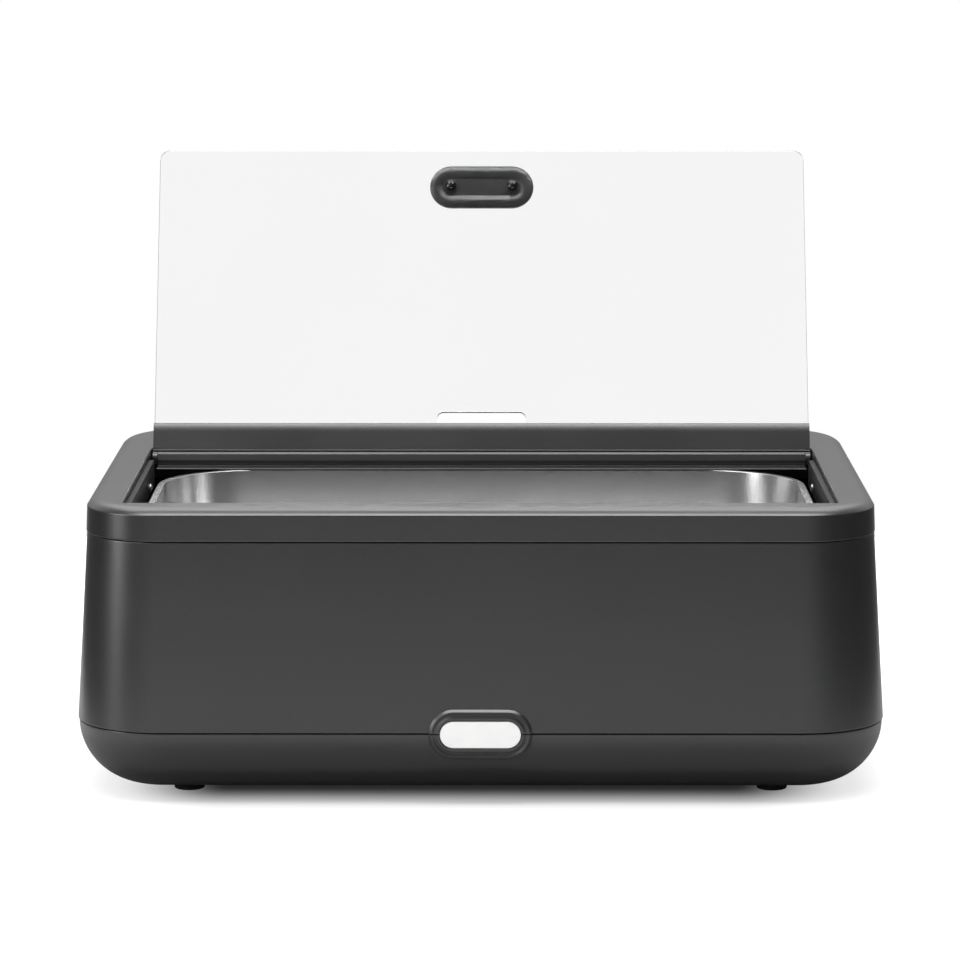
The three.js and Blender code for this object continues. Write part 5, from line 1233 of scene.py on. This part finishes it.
class DISH_OT_handle(Operator):
    """Make the handle behind the sheet, with its screws and washers"""

    bl_idname = "dish.handle"
    bl_label = "Handle"

    def execute(self, context):
        scene = context.scene
        body, lid, fit = scene.dish_body, scene.dish_lid, scene.dish_fittings
        _, _, top = levels(body)
        grip = opened(handle_parts(lid, top, body.gap), lid, top)
        new_piece("grip", grip, moulded_black(), "lid", ["lid_handle"])
        y, high = lid.handle_inset - lid.front_y, top - lid.thickness - body.gap
        low = high - lid.washer_wall
        washer = washer_part(lid.washer, fit.screw + body.gap, low, high, lid.washer_edge)
        screw = moved(screw_part(fit, fit.handle_shank), (0, 0, low - body.gap))
        for side, sx in SIDES:
            x = sx * lid.screw_spacing / 2
            for kind, part in (("washer", washer), ("screw", screw)):
                placed = opened([moved(part, (x, y, 0))], lid, top)
                new_piece(f"grip_{kind}_{side}", placed, blackened_steel(), "lid", [f"handle_{kind}_{side}"])
        return {"FINISHED"}


class DISH_OT_screws(Operator):
    """Make the screws of the lid rests, the feet and the support frame"""

    bl_idname = "dish.screws"
    bl_label = "Body screws"

    def execute(self, context):
        scene = context.scene
        body, pan, lid, fit = scene.dish_body, scene.dish_pan, scene.dish_lid, scene.dish_fittings
        _, _, top = levels(body)
        half, front, _ = opening(body)
        z = top - lid.thickness - body.gap - pan.rest_screw_drop
        base_screw = screw_part(fit, fit.base_shank)
        plate_screw = moved(base_screw, matrix=Matrix.Rotation(math.pi, 4, "X"))
        for side, sx in SIDES:
            turn = Matrix.Rotation(math.pi / 2 * sx, 4, "Y")
            rest_screw = moved(screw_part(fit, fit.rest_shank), matrix=turn)
            for number, share in enumerate(REST_SCREW_SHARES, 1):
                y = front + share * (rests_end(pan, lid) - front)
                place = (sx * (half - pan.rest_reach - body.gap), y, z)
                new_piece(f"strip_screw_{side}_{number}", [moved(rest_screw, place)], zinc_plate(),
                          replaces=[f"rest_screw_{side}_{number}"])
            for end, sy in ENDS:
                place = (sx * fit.foot_x, sy * fit.foot_y, fit.foot_recess_depth - body.gap)
                new_piece(f"base_screw_{end}_{side}", [moved(base_screw, place)], zinc_plate(),
                          replaces=[f"foot_screw_{end}_{side}"])
                place = (sx * (body.corner_x + body.tower_inset), sy * (body.corner_y + body.tower_inset),
                         top - body.plate_drop + body.frame_wall + body.gap)
                new_piece(f"plate_screw_{end}_{side}", [moved(plate_screw, place)], zinc_plate(),
                          replaces=[f"frame_screw_{end}_{side}"])
        return {"FINISHED"}


class DISH_OT_pans(Operator):
    """Make the steel food pan and the water bath under it"""

    bl_idname = "dish.pans"
    bl_label = "Food pan and water bath"

    def execute(self, context):
        body, pan = context.scene.dish_body, context.scene.dish_pan
        _, _, top = levels(body)
        high = top - pan.drop
        food = pressed_pan(pan, pan.mouth, pan.flange, high, pan.depth)
        new_piece("steel_food_pan", [food], pressed_steel(), replaces=["food_pan"], sharp=50)
        bath = pressed_pan(pan, pan.mouth + pan.sheet + pan.bath_gap, pan.bath_flange,
                           high - pan.sheet - body.gap, pan.bath_depth)
        new_piece("steel_water_bath", [bath], pressed_steel(), replaces=["water_bath"], sharp=50)
        return {"FINISHED"}


class DISH_OT_inside(Operator):
    """Finish the support frame and the heating parts under the bath"""

    bl_idname = "dish.inside"
    bl_label = "Support frame and heating"

    def execute(self, context):
        dress("support_frame", moulded_black(), bevel=0.0005)
        dress("heat_spreader", rolled_aluminium())
        dress("heating_element", zinc_plate(), bevel=0)
        dress("heat_shield", zinc_plate())
        dress("thermal_cutout", smooth_black())
        for side, _ in SIDES:
            dress(f"clamp_bar_{side}", zinc_plate())
            for end, _ in ENDS:
                dress(f"clamp_nut_{end}_{side}", zinc_plate())
        return {"FINISHED"}


class DISH_OT_controls(Operator):
    """Make the knob, rocker, lens and inlet in the recess at the back"""

    bl_idname = "dish.controls"
    bl_label = "Rear controls"

    def execute(self, context):
        fit, gap = context.scene.dish_fittings, context.scene.dish_body.gap
        dress("control_panel", moulded_black(), bevel=0.0006)
        dress("thermostat", zinc_plate())
        dress("switch_housing", smooth_black(), bevel=0.0005)
        dress("power_inlet", smooth_black(), bevel=0.0006)
        dress("inlet_pins", zinc_plate())
        turn = Matrix.Rotation(math.pi, 4, "Y") @ Matrix.Rotation(math.pi / 2, 4, "X")
        place = (-fit.knob_x, fit.panel_y + gap, fit.panel_z)
        skirt, bar, mark = (moved(moved(part, matrix=turn), place) for part in self.knob(fit))
        new_piece("knob_moulding", [skirt, bar], smooth_black(), "knob", ["thermostat_knob"], bevel=0.0004)
        new_piece("knob_mark", [mark], scale_print(), "knob")
        back = Matrix.Rotation(-math.pi / 2, 4, "X")
        lens = moved(self.lens(fit, gap), (-fit.lens_x, fit.panel_y, fit.panel_z), back)
        new_piece("lens_moulding", [lens], amber_lens(), replaces=["indicator_lens"])
        new_piece("rocker_moulding", [self.rocker(fit)], smooth_black(), "rocker", ["switch_rocker"],
                  bevel=0.0004)
        new_piece("knob_scale", self.scale(fit), scale_print())
        return {"FINISHED"}

    def knob(self, fit):
        """The knob's ribbed skirt r = r(z) + d cos 36a, the bar across it and the line printed on the bar."""
        radius, height, edge, step = fit.knob_radius, fit.knob_height, fit.knob_edge, fit.knob_skirt
        grip, lean, half_way = radius - fit.knob_step, fit.knob_lean, fit.knob_height / 2
        outline = [(0, 0), (radius - edge, 0), (radius, edge), (radius, step), (radius - step, 2 * step),
                   (grip + 2 * edge, fit.knob_seat), (grip, fit.knob_seat + 2 * edge),
                   (grip - lean, half_way - 2 * edge), (grip - lean - 2 * edge, half_way), (0, half_way)]
        ribs = [0, 0, 0, 0, 0, 0, fit.knob_rib, fit.knob_rib, 0, 0]
        skirt = grid(turned(outline, 144, 36, ribs))
        bar = rounded(box(fit.knob_bar, -grip, radius - step), (2 * step, 2 * step, 4 * edge, 4 * edge), 6)
        end = radius - fit.mark_inset
        mark = rounded(box(fit.mark_half, end - fit.mark_length, end), edge, 3)
        return (skirt, grid(drawn(bar, step, height, "Z"), caps=True),
                grid(drawn(mark, height - fit.print_root, height + fit.mark_height, "Z"), caps=True))

    def lens(self, fit, gap):
        """The lens: a stem and a domed head with a round edge, turned about Z."""
        stem, dome = fit.lens_stem, fit.lens_dome
        head = rounded(
            [(stem, gap), (fit.lens_radius, gap), (fit.lens_radius, fit.lens_rim), (stem, dome),
             (0, dome + fit.lens_edge)],
            (0, fit.lens_edge, fit.lens_round, fit.lens_round, 0), 4)[5:-5]
        return grid(turned([(0, -fit.lens_tail), (stem, -fit.lens_tail), (stem, gap), *head, (0, dome)], 48))

    def rocker(self, fit):
        """The rocker: a face hollowed as y = f - d cos (pi z / 2h) over a tapered back, tipped and drawn
        along X."""
        half, back = fit.rocker_half, fit.rocker_back
        z = np.linspace(half, -half, 25)
        face = np.column_stack((fit.rocker_face - fit.rocker_dish * np.cos(np.pi * z / (2 * half)), z))
        behind = [(-back / 2, -half), (-back, -half / 2), (-back, half / 2), (-back / 2, half)]
        section = np.concatenate((face, behind))
        placed = spun(section, fit.rocker_tilt) + (fit.panel_y + fit.rocker_axis, fit.panel_z)
        return grid(drawn(placed, fit.rocker_x - fit.rocker_side, fit.rocker_x + fit.rocker_side), caps=True)

    def scale(self, fit):
        """The printed lines round the knob, from the top through three quarters of a turn."""
        line = rounded(box(fit.scale_half, fit.scale_inner, fit.scale_outer), fit.scale_half / 2, 2)
        lines = []
        for turn in np.radians(np.linspace(0, -270, 10)):
            placed = spun(line, turn) * (-1, 1) + (-fit.knob_x, fit.panel_z)
            low, high = fit.panel_y - fit.print_root, fit.panel_y + fit.print_height
            lines.append(grid(drawn(placed, low, high, "Y"), caps=True))
        return lines


class DISH_OT_stage(Operator):
    """Set up the table, the soft lamps, the white surroundings and the camera"""

    bl_idname = "dish.stage"
    bl_label = "Stage"

    def execute(self, context):
        scene, stage = context.scene, context.scene.dish_stage
        scene.view_settings.view_transform = "Standard"
        scene.world = bpy.data.worlds.new("White surroundings")
        self.surroundings(scene.world, stage)
        self.table(scene)
        for name in LAMPS:
            values = [getattr(stage, f"{name}_{part}") for part in ("power", "place", "aim", "size")]
            self.lamp(f"{name}_lamp", *values)
        lens = bpy.data.cameras.new("front_camera")
        lens.sensor_width, lens.lens, lens.clip_end = stage.sensor, stage.focal, stage.reach
        place = (stage.camera_x, -stage.camera_y, stage.camera_z)
        scene.camera = self.placed(lens, place, (math.pi / 2 - stage.pitch, 0, stage.yaw))
        return {"FINISHED"}

    def placed(self, data, place, turn):
        """An object for a lamp or the camera, at a place and turned."""
        holder = bpy.data.objects.new(data.name, data)
        holder.location, holder.rotation_euler = place, turn
        bpy.context.scene.collection.objects.link(holder)
        return holder

    def lamp(self, name, power, place, aim, size):
        """A large soft lamp that looks at a point."""
        lamp = bpy.data.lights.new(name, "AREA")
        lamp.shape, lamp.size, lamp.size_y, lamp.energy = "RECTANGLE", *size, power
        self.placed(lamp, place, (Vector(aim) - Vector(place)).to_track_quat("-Z", "Y").to_euler())

    def surroundings(self, world, stage):
        """White where the camera looks. Gloss picks up a gradient that is darker in front, low down and
        at the sides, and matt surfaces an even sky."""
        tree = Tree(world)
        place = tree.add("TexCoord", "Generated")
        x, y, z = (tree.add("SeparateXYZ", axis, {"Vector": place}) for axis in "XYZ")
        from_back = tree.fitted(y, stage.dim_range, (stage.dim, 1.0), "SMOOTHSTEP")
        from_above = tree.fitted(z, stage.low_range, (stage.low, 1.0), "SMOOTHSTEP")
        aside = tree.add("Math", "Value", {0: x}, operation="ABSOLUTE")
        aside = tree.fitted(aside, stage.aside_range, (1.0, stage.aside), "SMOOTHSTEP")
        above = tree.fitted(z, stage.above_range, (0.0, 1.0), "SMOOTHSTEP")
        aside = tree.fitted(above, (0.0, 1.0), (aside, 1.0))
        gloss = tree.product(tree.product(from_back, from_above), aside)
        light = tree.fitted(tree.bounced("Diffuse"), (0.0, 1.0), (gloss, stage.sky))
        light = tree.fitted(tree.bounced("Diffuse", "Glossy"), (0.0, 1.0), (1.0, light))
        tree.feed(tree.nodes["Background"].inputs["Strength"], light)
        tree.feed(tree.nodes["Background"].inputs["Color"], (1, 1, 1, 1))

    def table(self, scene):
        """A flat table under the dish."""
        stage = scene.dish_stage
        x, y = np.meshgrid(np.linspace(-stage.table_x, stage.table_x, 3),
                           np.linspace(-stage.table_front, stage.table_back, 3))
        vertices, quads, _ = grid(np.dstack((x, y, np.full_like(x, -stage.table_drop))), wrap_columns=False)
        mesh = bpy.data.meshes.new("table")
        mesh.from_pydata(vertices.tolist(), [], quads.tolist())
        mesh.materials.append(self.table_finish(scene.dish_body, stage))
        table = bpy.data.objects.new("table", mesh)
        scene.collection.objects.link(table)

    def table_finish(self, body, stage):
        """White table whose colour is darkened close to the dish as painted shadow, on top of the dish's own
        shadow. Its glow for camera rays is faint close to the dish and full away from it, so the shadow's
        edge is painted too.
        """
        made = finish("White table", "", "floor", 0.9, tint=(3, 2, 0.01), Specular_IOR_Level=0.0,
                      Emission_Color=(1, 1, 1, 1))
        tree = Tree(made)
        shader = tree.nodes["Principled BSDF"].inputs
        past = tree.past_outline(body, stage.shade_inset)
        # Painted shadow: the table's colour is darkened close to the dish.
        under = tree.fitted(past, (stage.shade_start, stage.painted_shadow_end), (stage.under, 1.0), "SMOOTHSTEP")
        plain = shader["Base Color"].links[0].from_socket
        darker = tree.add("Mix", "Result", {"Factor": 1.0, "A": plain, "B": under}, data_type="RGBA",
                          blend_type="MULTIPLY")
        tree.feed(shader["Base Color"], darker)
        # Painted shadow edge: the glow that camera rays see stays faint close to the dish and grows to full
        # away from it.
        reach = (stage.shade_start, stage.shade_end)
        glow = tree.fitted(past, reach, (stage.faint, stage.glow), "SMOOTHSTEP")
        glow = tree.fitted(tree.bounced("Diffuse", "Glossy"), (0.0, 1.0), (glow, 0.0))
        tree.feed(shader["Emission Strength"], glow)
        return made


class DISH_PT_pieces(Panel):
    """Lists the pieces of the dish"""

    bl_label = "Chafing dish"
    bl_idname = "DISH_PT_pieces"
    bl_space_type = "VIEW_3D"
    bl_region_type = "UI"
    bl_category = "Chafing dish"

    def draw(self, context):
        for operator in OPERATORS:
            self.layout.operator(operator.bl_idname)


OPERATORS = (
    DISH_OT_stage, DISH_OT_base_tray, DISH_OT_body_shell, DISH_OT_rim_frame, DISH_OT_badge, DISH_OT_feet,
    DISH_OT_lid_rests, DISH_OT_hinge, DISH_OT_lid, DISH_OT_handle, DISH_OT_screws, DISH_OT_pans,
    DISH_OT_inside, DISH_OT_controls,
)
GROUPS = {
    "dish_body": BodySizes, "dish_pan": PanSizes, "dish_lid": LidSizes, "dish_fittings": FittingSizes,
    "dish_finishes": Finishes, "dish_stage": StageSettings,
}


def register():
    for group in GROUPS.values():
        bpy.utils.register_class(group)
    for name, group in GROUPS.items():
        setattr(bpy.types.Scene, name, PointerProperty(type=group))
    for operator in OPERATORS:
        bpy.utils.register_class(operator)
    bpy.utils.register_class(DISH_PT_pieces)


def unregister():
    bpy.utils.unregister_class(DISH_PT_pieces)
    for operator in reversed(OPERATORS):
        bpy.utils.unregister_class(operator)
    for name in GROUPS:
        delattr(bpy.types.Scene, name)
    for group in reversed(list(GROUPS.values())):
        bpy.utils.unregister_class(group)


def main():
    """Registers the add-on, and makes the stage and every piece."""
    register()
    bpy.ops.dish.stage()
    bpy.ops.dish.base_tray()
    bpy.ops.dish.body_shell()
    bpy.ops.dish.rim_frame()
    bpy.ops.dish.badge()
    bpy.ops.dish.feet()
    bpy.ops.dish.lid_rests()
    bpy.ops.dish.hinge()
    bpy.ops.dish.lid()
    bpy.ops.dish.handle()
    bpy.ops.dish.screws()
    bpy.ops.dish.pans()
    bpy.ops.dish.inside()
    bpy.ops.dish.controls()
    bpy.context.view_layer.update()


if __name__ == "__main__":
    main()
